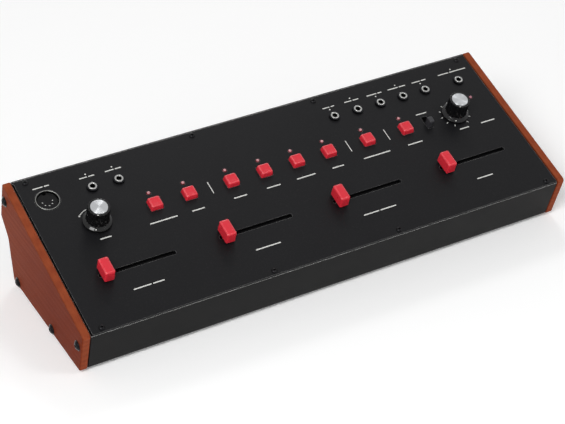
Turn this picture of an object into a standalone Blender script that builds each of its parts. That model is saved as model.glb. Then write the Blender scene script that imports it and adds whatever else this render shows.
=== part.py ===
# Desktop analog string synthesizer: a sloped black steel case held between two wooden cheeks.
# Metres, +Z up. The player sits at -Y. The origin is on the surface that the rubber feet
# stand on, under the middle of the case.

import math

import bmesh
import bpy
from mathutils import Matrix, Vector

# Clearances: between pieces that sit on each other, and round pieces that move. Pieces that are
# fused to their board go into it by the depth of the seat.
GAP = 0.0003
RUNNING_GAP = 0.0003
SEAT = 0.0005

# Front panel, a flat plate on top of the case
PANEL_WIDTH = 0.3556
PANEL_LENGTH = 0.1285
PANEL_THICKNESS = 0.0016
PANEL_TILT = math.radians(18.95)
PANEL_CORNER = 0.0004

# Case side view: the front and back walls lean back, and the rear is undercut
CASE_LEAN = math.radians(16.6)
FRONT_HEIGHT = 0.0333
BACK_DROP = 0.031
UNDERCUT_ANGLE = math.radians(52.5)
REAR_FOOT = 0.1093
REAR_LEAN = math.radians(6)
SHEET = 0.0012
SHEET_BEND = 0.0012
LIP = 0.009
TRAY_OVERHANG = 0.0008
TRAY_INSET = 0.0003
TRAY_RISE = 0.0005
TRAY_REAR_INSET = 0.0012

# Wooden cheeks
CHEEK_THICKNESS = 0.0057
CHEEK_MARGIN = 0.0004
RIM_GAP = 0.0004
REAR_MARGIN = TRAY_INSET + SHEET + RIM_GAP
CHEEK_EDGE = 0.0005
CHEEK_CORNERS = (0.0015, 0.003, 0.006, 0.003, 0.0015, 0.0025)

# Holes for the screws that hold the cheeks and the panel
CHEEK_HOLE = 0.0018
CHEEK_HOLE_EDGE = 0.0058
CHEEK_HOLE_REAR = 0.0085
CHEEK_HOLE_MIDDLE = 0.066
CHEEK_HOLE_RISE = 0.0162
PANEL_HOLE = 0.0015
PANEL_HOLE_SIDE = 0.0075
PANEL_HOLE_EDGE = 0.003
PANEL_HOLE_INNER = 0.1298

# Rubber feet
FOOT_RADIUS = 0.0065
FOOT_TAPER = 0.88
FOOT_HEIGHT = 0.003
FOOT_SIDE = 0.022
FOOT_FRONT = 0.016
FOOT_REAR = 0.012

# Circuit boards
BOARD = 0.0016
PANEL_BOARD_DEPTH = 0.011
PANEL_BOARD_MARGIN = 0.006
PANEL_BOARD_FRONT = 0.015
PANEL_BOARD_BACK = 0.0105
MAIN_BOARD_HEIGHT = 0.005
MAIN_BOARD_SIDE = 0.016
MAIN_BOARD_RIGHT = 0.043
MAIN_BOARD_LENGTH = 0.05
MAIN_BOARD_REAR = 0.0012
SPACER_RADIUS = 0.0028
PANEL_SPACERS = 4
SPACERS_FROM_FRONT = 0.06
SPACER_SIDE = 0.024
BOARD_SPACER_EDGE = 0.006
HEADER = (0.026, 0.0055, 0.005)
HEADER_FROM_FRONT = 0.06
RIBBON = (0.022, 0.001)
RIBBON_SLACK = 0.5
RIBBON_STEPS = 8

# Control rows, as distances up the panel
JACK_ROW_FROM_BACK = 0.0213
CONTROL_ROW_BELOW_JACKS = 0.0274
LED_ROW_ABOVE_CONTROLS = 0.0102
SLIDERS_FROM_FRONT = 0.0397

# Five-pin socket
FIVE_PIN_SIDE = 0.0156
FIVE_PIN_SHIELD = 0.0082
FIVE_PIN_SHIELD_WALL = 0.0007
FIVE_PIN_SHIELD_HEIGHT = 0.0006
FIVE_PIN_FACE = 0.0067
FIVE_PIN_FACE_DEPTH = 0.0008
FIVE_PIN_HOUSING = 0.0194
FIVE_PIN_HOUSING_TOP = 0.0022
FIVE_PIN_DEPTH = 0.0125
PIN_CIRCLE = 0.0035
PIN_HOLE = 0.00075
PIN_HOLE_DEPTH = 0.004
FIVE_PIN_KEY = (0.0022, 0.0016)

# Patch jacks: two at the left, five and one at the right
JACK_LEFT = 0.0474
JACK_RIGHT = 0.0172
JACK_GROUP_RIGHT = 0.0461
JACK_PITCH = 0.01905
JACK_GROUP = 5
JACK_BODY = (0.009, 0.0105)
JACK_BUSHING = 0.003
JACK_BORE = 0.0018
JACK_HEIGHT = 0.0018
JACK_DEPTH = 0.0095
JACK_NUT = 0.004
JACK_NUT_HEIGHT = 0.0011

# Push buttons with square caps, in groups of two, four, one and one
BUTTON_LEFT = 0.0802
BUTTON_RIGHT = 0.0791
BUTTON_GROUPS = (2, 4, 1, 1)
BUTTON_GROUP_GAP = 0.0062
BUTTON_CAP = 0.009
BUTTON_DRAFT = 0.0004
BUTTON_HEIGHT = 0.0038
BUTTON_SKIRT = 0.0028
BUTTON_ROUNDING = 0.0009
BUTTON_TRAVEL = 0.001
BUTTON_STEM = 0.003
BUTTON_STEM_REACH = 0.0011
KEY_SWITCH = 0.012
KEY_SWITCH_HEIGHT = 0.0036

# Indicator lamps
LED_RADIUS = 0.0015
LED_FLANGE = 0.0019
LED_RISE = 0.0009
LED_SEAT = 0.0035
POWER_LED_RIGHT = 0.0171

# Rotary controls
KNOB_LEFT = 0.0386
KNOB_RIGHT = 0.0373
KNOB_HEIGHT = 0.016
KNOB_LIFT = 0.0008
KNOB_SKIRT = 0.0098
KNOB_SKIRT_HEIGHT = 0.0024
KNOB_BASE = 0.0078
KNOB_TOP = 0.0074
KNOB_FLUTES = 20
KNOB_FLUTE_RADIUS = 0.0009
KNOB_FLUTE_DEPTH = 0.0007
DISC_RADIUS = 0.0058
DISC_THICKNESS = 0.001
SHAFT = 0.0026
BUSHING = 0.0035
BUSHING_HEIGHT = 0.0026
POT_BODY = (0.0098, 0.0112)
POT_HEIGHT = 0.006
NUT_RADIUS = 0.0055
NUT_HEIGHT = 0.002

# Slide controls with tall caps
SLIDER_LEFT = 0.049
SLIDER_RIGHT = 0.0473
SLIDERS = 4
SLIDER_TRAVEL = 0.045
SLIDER_SLOT_END = 0.0028
SLIDER_SLOT_WIDTH = 0.0031
SLIDER_CAP = (0.0072, 0.0134, 0.0092)
SLIDER_CAP_LIFT = 0.0008
SLIDER_CAP_DRAFT = 0.0002
SLIDER_CAP_ROUNDING = 0.0008
LEVER = (0.004, 0.0012)
LEVER_RISE = 0.0065
LEVER_FOOT = (0.006, 0.0052, 0.0022)
SLIDER_BODY = (0.062, 0.009, 0.007)
SLIDER_FLOOR = 0.0012

# Small slide switch
MODE_SWITCH_RIGHT = 0.0608
MODE_SWITCH_TRAVEL = 0.005
MODE_LEVER = (0.004, 0.0053)
MODE_LEVER_RISE = 0.0065
MODE_LEVER_DEPTH = 0.0033
MODE_BODY = (0.009, 0.018)

# Sockets and switch on the rear wall, as distances from the nearer end of the panel
SWITCH_RISE = 0.0135
SWITCH_FROM_END = 0.0258
SWITCH_FRAME = (0.015, 0.021, 0.0018)
SWITCH_WINDOW = (0.0108, 0.0168)
SWITCH_SHELL = (0.013, 0.019, 0.014)
ROCKER_SWING = math.radians(12)
ROCKER_RISE = 0.0084
ROCKER_DIP = 0.0014
ROCKER_PIVOT_DEPTH = 0.0052
ROCKER_DEPTH = 0.0095
DC_FROM_END = 0.0598
DC_BODY = (0.0092, 0.0118, 0.0136)
DC_BORE = 0.0031
DC_PIN = 0.0011
DC_HOLE_DEPTH = 0.009
DATA_FROM_END = 0.0858
DATA_BODY = (0.0122, 0.011, 0.016)
DATA_MOUTH = (0.0086, 0.0079)
DATA_TONGUE = (0.0058, 0.0034)
DATA_DEPTH = 0.009
THRU_FROM_END = 0.1138
OUT_NEAR_END = 0.0398
OUT_PITCH = 0.03
OUT_BODY = (0.0156, 0.0168, 0.026)
OUT_BUSHING = 0.0048
OUT_BORE = 0.0033
OUT_RISE = 0.0042
OUT_NUT = 0.0066
OUT_NUT_HEIGHT = 0.002
OUT_HOLE_DEPTH = 0.024

# Facets of round pieces
ROUND = 24
MEDIUM = 12
SMALL = 8

# Sizes worked out from those above
TRAY_WIDTH = PANEL_WIDTH + 2 * TRAY_OVERHANG
SWITCH_AT = PANEL_WIDTH / 2 - SWITCH_FROM_END
DC_AT = PANEL_WIDTH / 2 - DC_FROM_END
DATA_AT = PANEL_WIDTH / 2 - DATA_FROM_END
THRU_AT = PANEL_WIDTH / 2 - THRU_FROM_END
OUT_OUTER_AT = OUT_NEAR_END - PANEL_WIDTH / 2
OUT_AT = (OUT_OUTER_AT + OUT_PITCH, OUT_OUTER_AT)
CHEEK_INNER = TRAY_WIDTH / 2 + GAP
CHEEK_OUTER = CHEEK_INNER + CHEEK_THICKNESS
TOP_LENGTH = PANEL_LENGTH + CHEEK_MARGIN + REAR_MARGIN
BOARD_TOP = -PANEL_BOARD_DEPTH + GAP
PANEL_UNDERSIDE = -PANEL_THICKNESS - GAP
JACK_ROW = PANEL_LENGTH - JACK_ROW_FROM_BACK
CONTROL_ROW = JACK_ROW - CONTROL_ROW_BELOW_JACKS
LED_ROW = CONTROL_ROW + LED_ROW_ABOVE_CONTROLS

for leftover in list(bpy.data.objects):
    bpy.data.objects.remove(leftover, do_unlink=True)

parts = bpy.data.collections.new("desktop_string_synthesizer")
cutters = bpy.data.collections.new("cutters")
bpy.context.scene.collection.children.link(parts)
bpy.context.scene.collection.children.link(cutters)


# Outlines in a plane

def circle(x, y, radius, steps, start=0.0):
    angles = [start + 2 * math.pi * i / steps for i in range(steps)]
    return [Vector((x + radius * math.cos(a), y + radius * math.sin(a))) for a in angles]


def rounded(corners, radii, steps=4):
    """Turn each corner of a closed outline into an arc of its own radius."""
    points = []
    for i, radius in enumerate(radii):
        corner = Vector(corners[i])
        before = (Vector(corners[i - 1]) - corner).normalized()
        after = (Vector(corners[(i + 1) % len(corners)]) - corner).normalized()
        half = before.angle(after) / 2
        centre = corner + (before + after).normalized() * radius / math.sin(half)
        first = corner + before * radius / math.tan(half) - centre
        last = corner + after * radius / math.tan(half) - centre
        sweep = math.copysign(math.pi - 2 * half, first.x * last.y - first.y * last.x)
        begin = math.atan2(first.y, first.x)
        for k in range(steps + 1):
            angle = begin + sweep * k / steps
            points.append(centre + radius * Vector((math.cos(angle), math.sin(angle))))
    return points


def rectangle(x, y, width, height, radius, steps=2):
    half_width = width / 2
    half_height = height / 2
    corners = [(x - half_width, y - half_height), (x + half_width, y - half_height),
               (x + half_width, y + half_height), (x - half_width, y + half_height)]
    return rounded(corners, [radius] * 4, steps)


def meet(point_a, angle_a, point_b, angle_b):
    """Where two lines in a plane cross, each given by a point and a direction."""
    along_a = Vector((math.cos(angle_a), math.sin(angle_a)))
    along_b = Vector((math.cos(angle_b), math.sin(angle_b)))
    between = Vector(point_b) - Vector(point_a)
    crossing = along_a.x * along_b.y - along_a.y * along_b.x
    return Vector(point_a) + along_a * (between.x * along_b.y - between.y * along_b.x) / crossing


def inset_edge(edge, distance):
    """An edge, as a point and an angle, moved inwards."""
    point, angle = edge
    return Vector(point) + distance * Vector((-math.sin(angle), math.cos(angle))), angle


def inset(edges, distances):
    """Corners of an outline whose edges move inwards, each by its own distance."""
    moved = [inset_edge(edge, distance) for edge, distance in zip(edges, distances)]
    return [meet(*moved[i - 1], *moved[i]) for i in range(len(moved))]


# Building blocks

def add_object(name, mesh, parent=None, place=(0, 0, 0), collection=parts):
    created = bpy.data.objects.new(name, mesh)
    collection.objects.link(created)
    created.location = place
    created.parent = parent
    return created


def mesh_from(name, form):
    mesh = bpy.data.meshes.new(name)
    bmesh.ops.recalc_face_normals(form, faces=form.faces)
    form.to_mesh(mesh)
    form.free()
    return mesh


def solid_of(source):
    """The mesh of an object with its modifiers applied."""
    bpy.context.view_layer.update()
    seen = source.evaluated_get(bpy.context.evaluated_depsgraph_get())
    return bpy.data.meshes.new_from_object(seen)


def plate_mesh(name, outlines, thickness):
    """A flat plate with holes, centred on its own plane, from closed outlines."""
    curve = bpy.data.curves.new(name, "CURVE")
    curve.dimensions = "2D"
    curve.fill_mode = "BOTH"
    curve.extrude = thickness / 2
    for outline in outlines:
        spline = curve.splines.new("POLY")
        spline.points.add(len(outline) - 1)
        for point, corner in zip(spline.points, outline):
            point.co = (corner[0], corner[1], 0, 1)
        spline.use_cyclic_u = True
    holder = add_object(name, curve)
    filled = solid_of(holder)
    bpy.data.objects.remove(holder)
    form = bmesh.new()
    form.from_mesh(filled)
    bpy.data.meshes.remove(filled)
    bmesh.ops.remove_doubles(form, verts=form.verts, dist=0.000001)
    return mesh_from(name, form)


def box(form, low, high):
    size = Vector(high) - Vector(low)
    centre = (Vector(high) + Vector(low)) / 2
    matrix = Matrix.Translation(centre) @ Matrix.Diagonal((*size, 1))
    return bmesh.ops.create_cube(form, size=1, matrix=matrix)["verts"]


def rod(form, radius, low, high, steps, centre=(0, 0)):
    matrix = Matrix.Translation((*centre, (low + high) / 2))
    bmesh.ops.create_cone(form, cap_ends=True, segments=steps, radius1=radius, radius2=radius,
                          depth=high - low, matrix=matrix)


def block_mesh(name, low, high):
    form = bmesh.new()
    box(form, low, high)
    return mesh_from(name, form)


def rod_mesh(name, radius, low, high, steps, centre=(0, 0)):
    form = bmesh.new()
    rod(form, radius, low, high, steps, centre)
    return mesh_from(name, form)


def turned_mesh(name, profile, steps):
    """A turned solid from radius and height points, which run down the outer side."""
    mesh = bpy.data.meshes.new(name)
    points = [(radius, 0, height) for radius, height in profile]
    mesh.from_pydata(points, [(i, i + 1) for i in range(len(points) - 1)], [])
    blank = add_object(name, mesh)
    screw = blank.modifiers.new("turn", "SCREW")
    screw.steps = steps
    screw.render_steps = steps
    screw.use_merge_vertices = True
    screw.merge_threshold = 0.00001
    turned = solid_of(blank)
    bpy.data.objects.remove(blank)
    return turned


def combine(target, tool_mesh, operation):
    """Cut a tool from a part, or join it to the part, with an exact Boolean."""
    tool = add_object(target.name + "_tool", tool_mesh, collection=cutters)
    tool.parent = target
    tool.hide_render = True
    tool.display_type = "WIRE"
    change = target.modifiers.new(operation.lower(), "BOOLEAN")
    change.operation = operation
    change.solver = "EXACT"
    change.object = tool


def cut(target, tool_mesh):
    combine(target, tool_mesh, "DIFFERENCE")


def join(target, tool_mesh):
    combine(target, tool_mesh, "UNION")


def repeat(name, master, places, parent=None):
    """Copies of one finished solid, each its own object, numbered from 1."""
    mesh = solid_of(master)
    for number, place in enumerate(places, 1):
        add_object(f"{name}_{number}", mesh, parent, place)
    scrap(master)


def gather(master, places):
    """One tool mesh with a copy of a solid at each place, to join to the board that carries them."""
    mesh = solid_of(master)
    form = bmesh.new()
    for place in places:
        before = len(form.verts)
        form.from_mesh(mesh)
        form.verts.ensure_lookup_table()
        bmesh.ops.translate(form, vec=place, verts=form.verts[before:])
    scrap(master)
    return mesh_from("gathered", form)


def scrap(master):
    for tool in list(master.children):
        bpy.data.objects.remove(tool)
    bpy.data.objects.remove(master)


def ease(part, width, segments, angle=math.radians(40)):
    bevel = part.modifiers.new("eased_edges", "BEVEL")
    bevel.width = width
    bevel.segments = segments
    bevel.limit_method = "ANGLE"
    bevel.angle_limit = angle


def finish(part, colour, roughness, metallic=0.0):
    """Give a part its own material and smooth shading between its sharp edges."""
    material = bpy.data.materials.new(part.name + "_finish")
    material.use_nodes = True
    shader = material.node_tree.nodes["Principled BSDF"]
    shader.inputs["Base Color"].default_value = (*colour, 1)
    shader.inputs["Roughness"].default_value = roughness
    shader.inputs["Metallic"].default_value = metallic
    part.data.materials.clear()
    part.data.materials.append(material)
    part.data.shade_smooth()
    part.data.set_sharp_from_angle(angle=math.radians(35))
    return part


BLACK_PAINT = (0.018, 0.018, 0.019)
BLACK_PLASTIC = (0.012, 0.012, 0.013)
BLACK_STEEL = (0.02, 0.02, 0.021)
BRIGHT_METAL = (0.75, 0.75, 0.74)
NICKEL = (0.62, 0.61, 0.58)
RED_PLASTIC = (0.7, 0.03, 0.045)
BOARD_GREEN = (0.02, 0.11, 0.05)
REDDISH_WOOD = (0.17, 0.045, 0.024)
RUBBER = (0.015, 0.015, 0.015)


# Side view of the case, in distances back from the front foot and up from the cheeks' bottom

cheek_front = Vector((-FRONT_HEIGHT * math.tan(CASE_LEAN), FRONT_HEIGHT))
cheek_back = cheek_front + TOP_LENGTH * Vector((math.cos(PANEL_TILT), math.sin(PANEL_TILT)))
cheek_nose = cheek_back + BACK_DROP * Vector((math.sin(CASE_LEAN), -math.cos(CASE_LEAN)))
bottom_edge = (Vector((0, 0)), 0.0)
rear_edge = (Vector((REAR_FOOT, 0)), math.pi / 2 - REAR_LEAN)
undercut_edge = (cheek_nose, UNDERCUT_ANGLE)
back_edge = (cheek_back, math.pi / 2 + CASE_LEAN)
top_edge = (cheek_back, math.pi + PANEL_TILT)
front_edge = (cheek_front, -(math.pi / 2 - CASE_LEAN))
case_edges = [bottom_edge, rear_edge, undercut_edge, back_edge, top_edge, front_edge]
cheek_outline = rounded(inset(case_edges, [0] * 6), CHEEK_CORNERS)

# The upright rear wall of the tray stands just inside the cheeks' rear foot
wall_edge = (Vector((REAR_FOOT - TRAY_REAR_INSET, 0)), math.pi / 2)
tray_edges = [bottom_edge, wall_edge, undercut_edge, back_edge, top_edge, front_edge]
tray_top_inset = PANEL_THICKNESS + GAP
tray_insets = [TRAY_RISE, 0, TRAY_INSET, TRAY_INSET, tray_top_inset, TRAY_INSET]

# Behind the panel the rear wall rises past the lip to the panel's top, as a rim one sheet thick
back_insets = [TRAY_INSET, TRAY_INSET + SHEET]
rim_top = [meet(*inset_edge(back_edge, back), *inset_edge(top_edge, TRAY_INSET)) for back in back_insets]
rim_foot = meet(*inset_edge(back_edge, back_insets[1]), *inset_edge(top_edge, tray_top_inset))
tray_corners = inset(tray_edges, tray_insets)
tray_corners[4:5] = [*rim_top, rim_foot]
tray_bends = [SHEET_BEND] * 4 + [SHEET_BEND / 2, GAP, GAP, SHEET_BEND]
tray_outline = rounded(tray_corners, tray_bends, 3)
hollow_insets = [distance + SHEET for distance in tray_insets]
hollow_outline = inset(tray_edges, hollow_insets)

# Places of the side view in the part's own frame
panel_corner = cheek_front + CHEEK_MARGIN * Vector((math.cos(PANEL_TILT), math.sin(PANEL_TILT)))
outer_points = [panel_corner, *cheek_outline]
case_middle = (min(p.x for p in outer_points) + max(p.x for p in outer_points)) / 2
cheek_bottom = FOOT_HEIGHT + GAP - TRAY_RISE
SIDE_VIEW = Matrix(((0, 0, 1, 0), (1, 0, 0, -case_middle), (0, 1, 0, cheek_bottom), (0, 0, 0, 1)))


def from_side_view(mesh, across=0.0):
    """Stand a plate drawn in the side view upright in the case, centred across it."""
    mesh.transform(Matrix.Translation((across, 0, 0)) @ SIDE_VIEW)
    return mesh


# Frames: on the panel x runs along it, y up its slope, z out of it; on the rear wall z points out

panel_frame = add_object("panel_frame", None)
panel_frame.location = (-PANEL_WIDTH / 2, panel_corner.x - case_middle, panel_corner.y + cheek_bottom)
panel_frame.rotation_euler = (PANEL_TILT, 0, 0)

rear_frame = add_object("rear_frame", None)
rear_frame.location = (0, REAR_FOOT - TRAY_REAR_INSET - case_middle, cheek_bottom)
rear_frame.rotation_euler = (math.pi / 2, 0, math.pi)
bpy.context.view_layer.update()

right_edge = PANEL_WIDTH
jack_places = [JACK_LEFT, JACK_LEFT + JACK_PITCH]
jack_places += [right_edge - JACK_GROUP_RIGHT - JACK_PITCH * k for k in reversed(range(JACK_GROUP))]
jack_places.append(right_edge - JACK_RIGHT)
knob_places = {"tune": KNOB_LEFT, "rate": right_edge - KNOB_RIGHT}
slider_pitch = (PANEL_WIDTH - SLIDER_LEFT - SLIDER_RIGHT) / (SLIDERS - 1)
slider_places = [SLIDER_LEFT + slider_pitch * k for k in range(SLIDERS)]
group_gaps = BUTTON_GROUP_GAP * (len(BUTTON_GROUPS) - 1)
button_pitch = (PANEL_WIDTH - BUTTON_LEFT - BUTTON_RIGHT - group_gaps) / (sum(BUTTON_GROUPS) - 1)
button_places = []
for group, size in enumerate(BUTTON_GROUPS):
    for _ in range(size):
        step = len(button_places)
        button_places.append(BUTTON_LEFT + button_pitch * step + BUTTON_GROUP_GAP * group)
mode_switch_x = right_edge - MODE_SWITCH_RIGHT
power_led_x = right_edge - POWER_LED_RIGHT
panel_hole_xs = (PANEL_HOLE_SIDE, PANEL_HOLE_INNER, right_edge - PANEL_HOLE_INNER,
                 right_edge - PANEL_HOLE_SIDE)
panel_hole_places = [(x, y) for x in panel_hole_xs
                     for y in (PANEL_HOLE_EDGE, PANEL_LENGTH - PANEL_HOLE_EDGE)]


# Front panel: one plate with every hole in its outline

def make_front_panel():
    half = PANEL_THICKNESS / 2
    holes = [circle(FIVE_PIN_SIDE, JACK_ROW, FIVE_PIN_SHIELD + GAP, ROUND)]
    holes += [circle(x, JACK_ROW, JACK_BUSHING + GAP, MEDIUM) for x in jack_places]
    hole_size = BUTTON_CAP + 2 * RUNNING_GAP
    holes += [rectangle(x, CONTROL_ROW, hole_size, hole_size, BUTTON_ROUNDING) for x in button_places]
    holes += [circle(x, LED_ROW, LED_RADIUS + GAP, SMALL) for x in [*button_places, power_led_x]]
    holes += [circle(x, CONTROL_ROW, BUSHING + GAP, MEDIUM) for x in knob_places.values()]
    slot_length = SLIDER_TRAVEL + LEVER[0] + 2 * SLIDER_SLOT_END
    slot_end = SLIDER_SLOT_WIDTH * 0.45
    holes += [rectangle(x, SLIDERS_FROM_FRONT, slot_length, SLIDER_SLOT_WIDTH, slot_end, 3)
              for x in slider_places]
    mode_slot = (MODE_LEVER[0] + 2 * RUNNING_GAP, MODE_LEVER[1] + MODE_SWITCH_TRAVEL + 2 * RUNNING_GAP)
    holes.append(rectangle(mode_switch_x, CONTROL_ROW, *mode_slot, RUNNING_GAP, 1))
    holes += [circle(*place, PANEL_HOLE, SMALL) for place in panel_hole_places]
    edge = rectangle(PANEL_WIDTH / 2, PANEL_LENGTH / 2, PANEL_WIDTH, PANEL_LENGTH, PANEL_CORNER)
    mesh = plate_mesh("front_panel", [edge, *holes], PANEL_THICKNESS)
    mesh.transform(Matrix.Translation((0, 0, -half)))
    finish(add_object("front_panel", mesh, panel_frame), BLACK_PAINT, 0.5)


# Steel tray: a folded box, open at the top inside its lips, with cut-outs in its rear wall

def cheek_holes(radius):
    """Two holes near the bottom, one high at the rear and one at the front of each cheek."""
    corners = inset(case_edges, [CHEEK_HOLE_EDGE] * 6)
    lean = Vector((-math.sin(CASE_LEAN), math.cos(CASE_LEAN)))
    bottom = TRAY_RISE + SHEET + CHEEK_HOLE + GAP
    places = [Vector((REAR_FOOT - CHEEK_HOLE_REAR, bottom)),
              Vector((REAR_FOOT - CHEEK_HOLE_MIDDLE, bottom)),
              corners[3] + CHEEK_HOLE_RISE * lean, corners[0] + CHEEK_HOLE_RISE * lean]
    return [circle(*place, radius, SMALL) for place in places]


def connector_row(height):
    """The middle of a connector that stands on the main board, above the cheeks' bottom."""
    return MAIN_BOARD_HEIGHT + BOARD + GAP + height / 2


def make_tray():
    width = TRAY_WIDTH
    tray = add_object("chassis_tray", from_side_view(plate_mesh("tray", [tray_outline], width)))
    hollow_width = TRAY_WIDTH - 2 * SHEET
    cut(tray, from_side_view(plate_mesh("hollow", [hollow_outline], hollow_width)))
    mouth = rectangle(PANEL_WIDTH / 2, PANEL_LENGTH / 2, hollow_width, PANEL_LENGTH - 2 * LIP, SHEET)
    screw_holes = [circle(*place, PANEL_HOLE, SMALL) for place in panel_hole_places]
    for outline in (mouth, *screw_holes):
        opening = plate_mesh("opening", [outline], 4 * SHEET)
        opening.transform(panel_frame.matrix_world @ Matrix.Translation((0, 0, -tray_top_inset)))
        cut(tray, opening)
    for outline in cheek_holes(CHEEK_HOLE):
        cut(tray, from_side_view(plate_mesh("cheek_hole", [outline], 2 * TRAY_WIDTH)))
    switch = (SWITCH_AT, SWITCH_RISE, SWITCH_SHELL)
    inlet = (DC_AT, connector_row(DC_BODY[1]), DC_BODY)
    data = (DATA_AT, connector_row(DATA_BODY[1]), DATA_BODY)
    windows = [rectangle(-x, y, size[0] + 2 * GAP, size[1] + 2 * GAP, GAP, 1)
               for x, y, size in (switch, inlet, data)]
    windows.append(circle(-THRU_AT, connector_row(FIVE_PIN_HOUSING), FIVE_PIN_SHIELD + GAP, ROUND))
    windows += [circle(-x, connector_row(OUT_BODY[1]), OUT_BUSHING + GAP, MEDIUM) for x in OUT_AT]
    for outline in windows:
        window = plate_mesh("window", [outline], 4 * SHEET)
        window.transform(rear_frame.matrix_world)
        cut(tray, window)
    finish(tray, BLACK_PAINT, 0.55)


# Wooden cheeks, drawn from the side view

def make_cheek(name, side):
    middle = side * (CHEEK_INNER + CHEEK_THICKNESS / 2)
    blank = plate_mesh(name, [cheek_outline, *cheek_holes(CHEEK_HOLE)], CHEEK_THICKNESS)
    cheek = add_object(name, from_side_view(blank, middle))
    ease(cheek, CHEEK_EDGE, 1, math.radians(60))
    finish(cheek, REDDISH_WOOD, 0.5)


def make_feet():
    rim = FOOT_RADIUS * FOOT_TAPER
    profile = [(0, FOOT_HEIGHT), (FOOT_RADIUS, FOOT_HEIGHT), (rim, 0), (0, 0)]
    foot = add_object("foot", turned_mesh("foot", profile, MEDIUM))
    finish(foot, RUBBER, 0.85)
    front = -case_middle + FOOT_FRONT
    rear = -case_middle + REAR_FOOT - FOOT_REAR
    side = TRAY_WIDTH / 2 - FOOT_SIDE
    places = [(x, y, 0) for x in (-side, side) for y in (front, rear)]
    repeat("rubber_foot", foot, places)


# Boards, with the key switches, lamps and spacers that stand on them, and the ribbon between them

def panel_point(y, z):
    """A point in the middle of the panel's width, in the part's own frame."""
    return panel_frame.matrix_world @ Vector((PANEL_WIDTH / 2, y, z))


def main_board_edges():
    back = REAR_FOOT - TRAY_REAR_INSET - SHEET - 4 * GAP - case_middle
    return back - MAIN_BOARD_LENGTH, back


def key_switch():
    stem_bottom = BOARD_TOP + KEY_SWITCH_HEIGHT - BUTTON_STEM_REACH
    well_floor = stem_bottom - BUTTON_TRAVEL - GAP
    half = KEY_SWITCH / 2
    switch = add_object("switch", block_mesh("switch", (-half, -half, -PANEL_BOARD_DEPTH - SEAT),
                                             (half, half, BOARD_TOP + KEY_SWITCH_HEIGHT)))
    cut(switch, rod_mesh("well", BUTTON_STEM + RUNNING_GAP, well_floor, 0, SMALL))
    return switch


def lamp():
    """A lens with a domed top and a flange, on a spacer of the flange's width."""
    dome = [(LED_RADIUS * math.sin(a), LED_RISE - LED_RADIUS + LED_RADIUS * math.cos(a))
            for a in (0, math.pi / 6, math.pi / 3, math.pi / 2)]
    foot = -PANEL_BOARD_DEPTH - SEAT
    profile = dome + [(LED_RADIUS, -LED_SEAT), (LED_FLANGE, -LED_SEAT), (LED_FLANGE, foot), (0, foot)]
    return add_object("lamp", turned_mesh("lamp", profile, SMALL))


def make_boards():
    board_low = -PANEL_BOARD_DEPTH - BOARD
    low = (PANEL_BOARD_MARGIN, PANEL_BOARD_FRONT, board_low)
    high = (PANEL_WIDTH - PANEL_BOARD_MARGIN, PANEL_LENGTH - PANEL_BOARD_BACK, -PANEL_BOARD_DEPTH)
    panel_board = add_object("panel_board", block_mesh("panel_board", low, high), panel_frame)
    join(panel_board, gather(key_switch(), [(x, CONTROL_ROW, 0) for x in button_places]))
    join(panel_board, gather(lamp(), [(x, LED_ROW, 0) for x in (*button_places, power_led_x)]))
    post = rod_mesh("post", SPACER_RADIUS, -PANEL_BOARD_DEPTH - SEAT, PANEL_UNDERSIDE, 6)
    pitch = (PANEL_WIDTH - 2 * SPACER_SIDE) / (PANEL_SPACERS - 1)
    places = [(SPACER_SIDE + pitch * k, SPACERS_FROM_FRONT, 0) for k in range(PANEL_SPACERS)]
    join(panel_board, gather(add_object("post", post), places))
    middle = Vector((PANEL_WIDTH / 2, HEADER_FROM_FRONT, board_low - HEADER[2] / 2 + SEAT))
    half = Vector(HEADER) / 2
    join(panel_board, block_mesh("header", middle - half, middle + half))
    finish(panel_board, BOARD_GREEN, 0.45)

    back = REAR_FOOT - TRAY_REAR_INSET - SHEET - MAIN_BOARD_REAR - case_middle
    front = back - MAIN_BOARD_LENGTH
    bottom = cheek_bottom + MAIN_BOARD_HEIGHT
    top = bottom + BOARD
    left = -TRAY_WIDTH / 2 + MAIN_BOARD_SIDE
    right = TRAY_WIDTH / 2 - MAIN_BOARD_RIGHT
    mesh = block_mesh("main_board", (left, front, bottom), (right, back, top))
    main_board = add_object("main_board", mesh)
    floor = cheek_bottom + TRAY_RISE + SHEET + GAP
    post = rod_mesh("post", SPACER_RADIUS, floor, bottom + SEAT, 6)
    places = [(x, y, 0) for x in (left + BOARD_SPACER_EDGE, right - BOARD_SPACER_EDGE)
              for y in (front + BOARD_SPACER_EDGE, back - BOARD_SPACER_EDGE)]
    join(main_board, gather(add_object("post", post), places))
    lower = Vector((0, front + HEADER[1], top + HEADER[2] / 2 - SEAT))
    join(main_board, block_mesh("header", lower - half, lower + half))
    finish(main_board, BOARD_GREEN, 0.45)
    make_ribbon(panel_point(middle.y, middle.z - half.z - GAP), lower + Vector((0, 0, half.z + GAP)))


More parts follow.
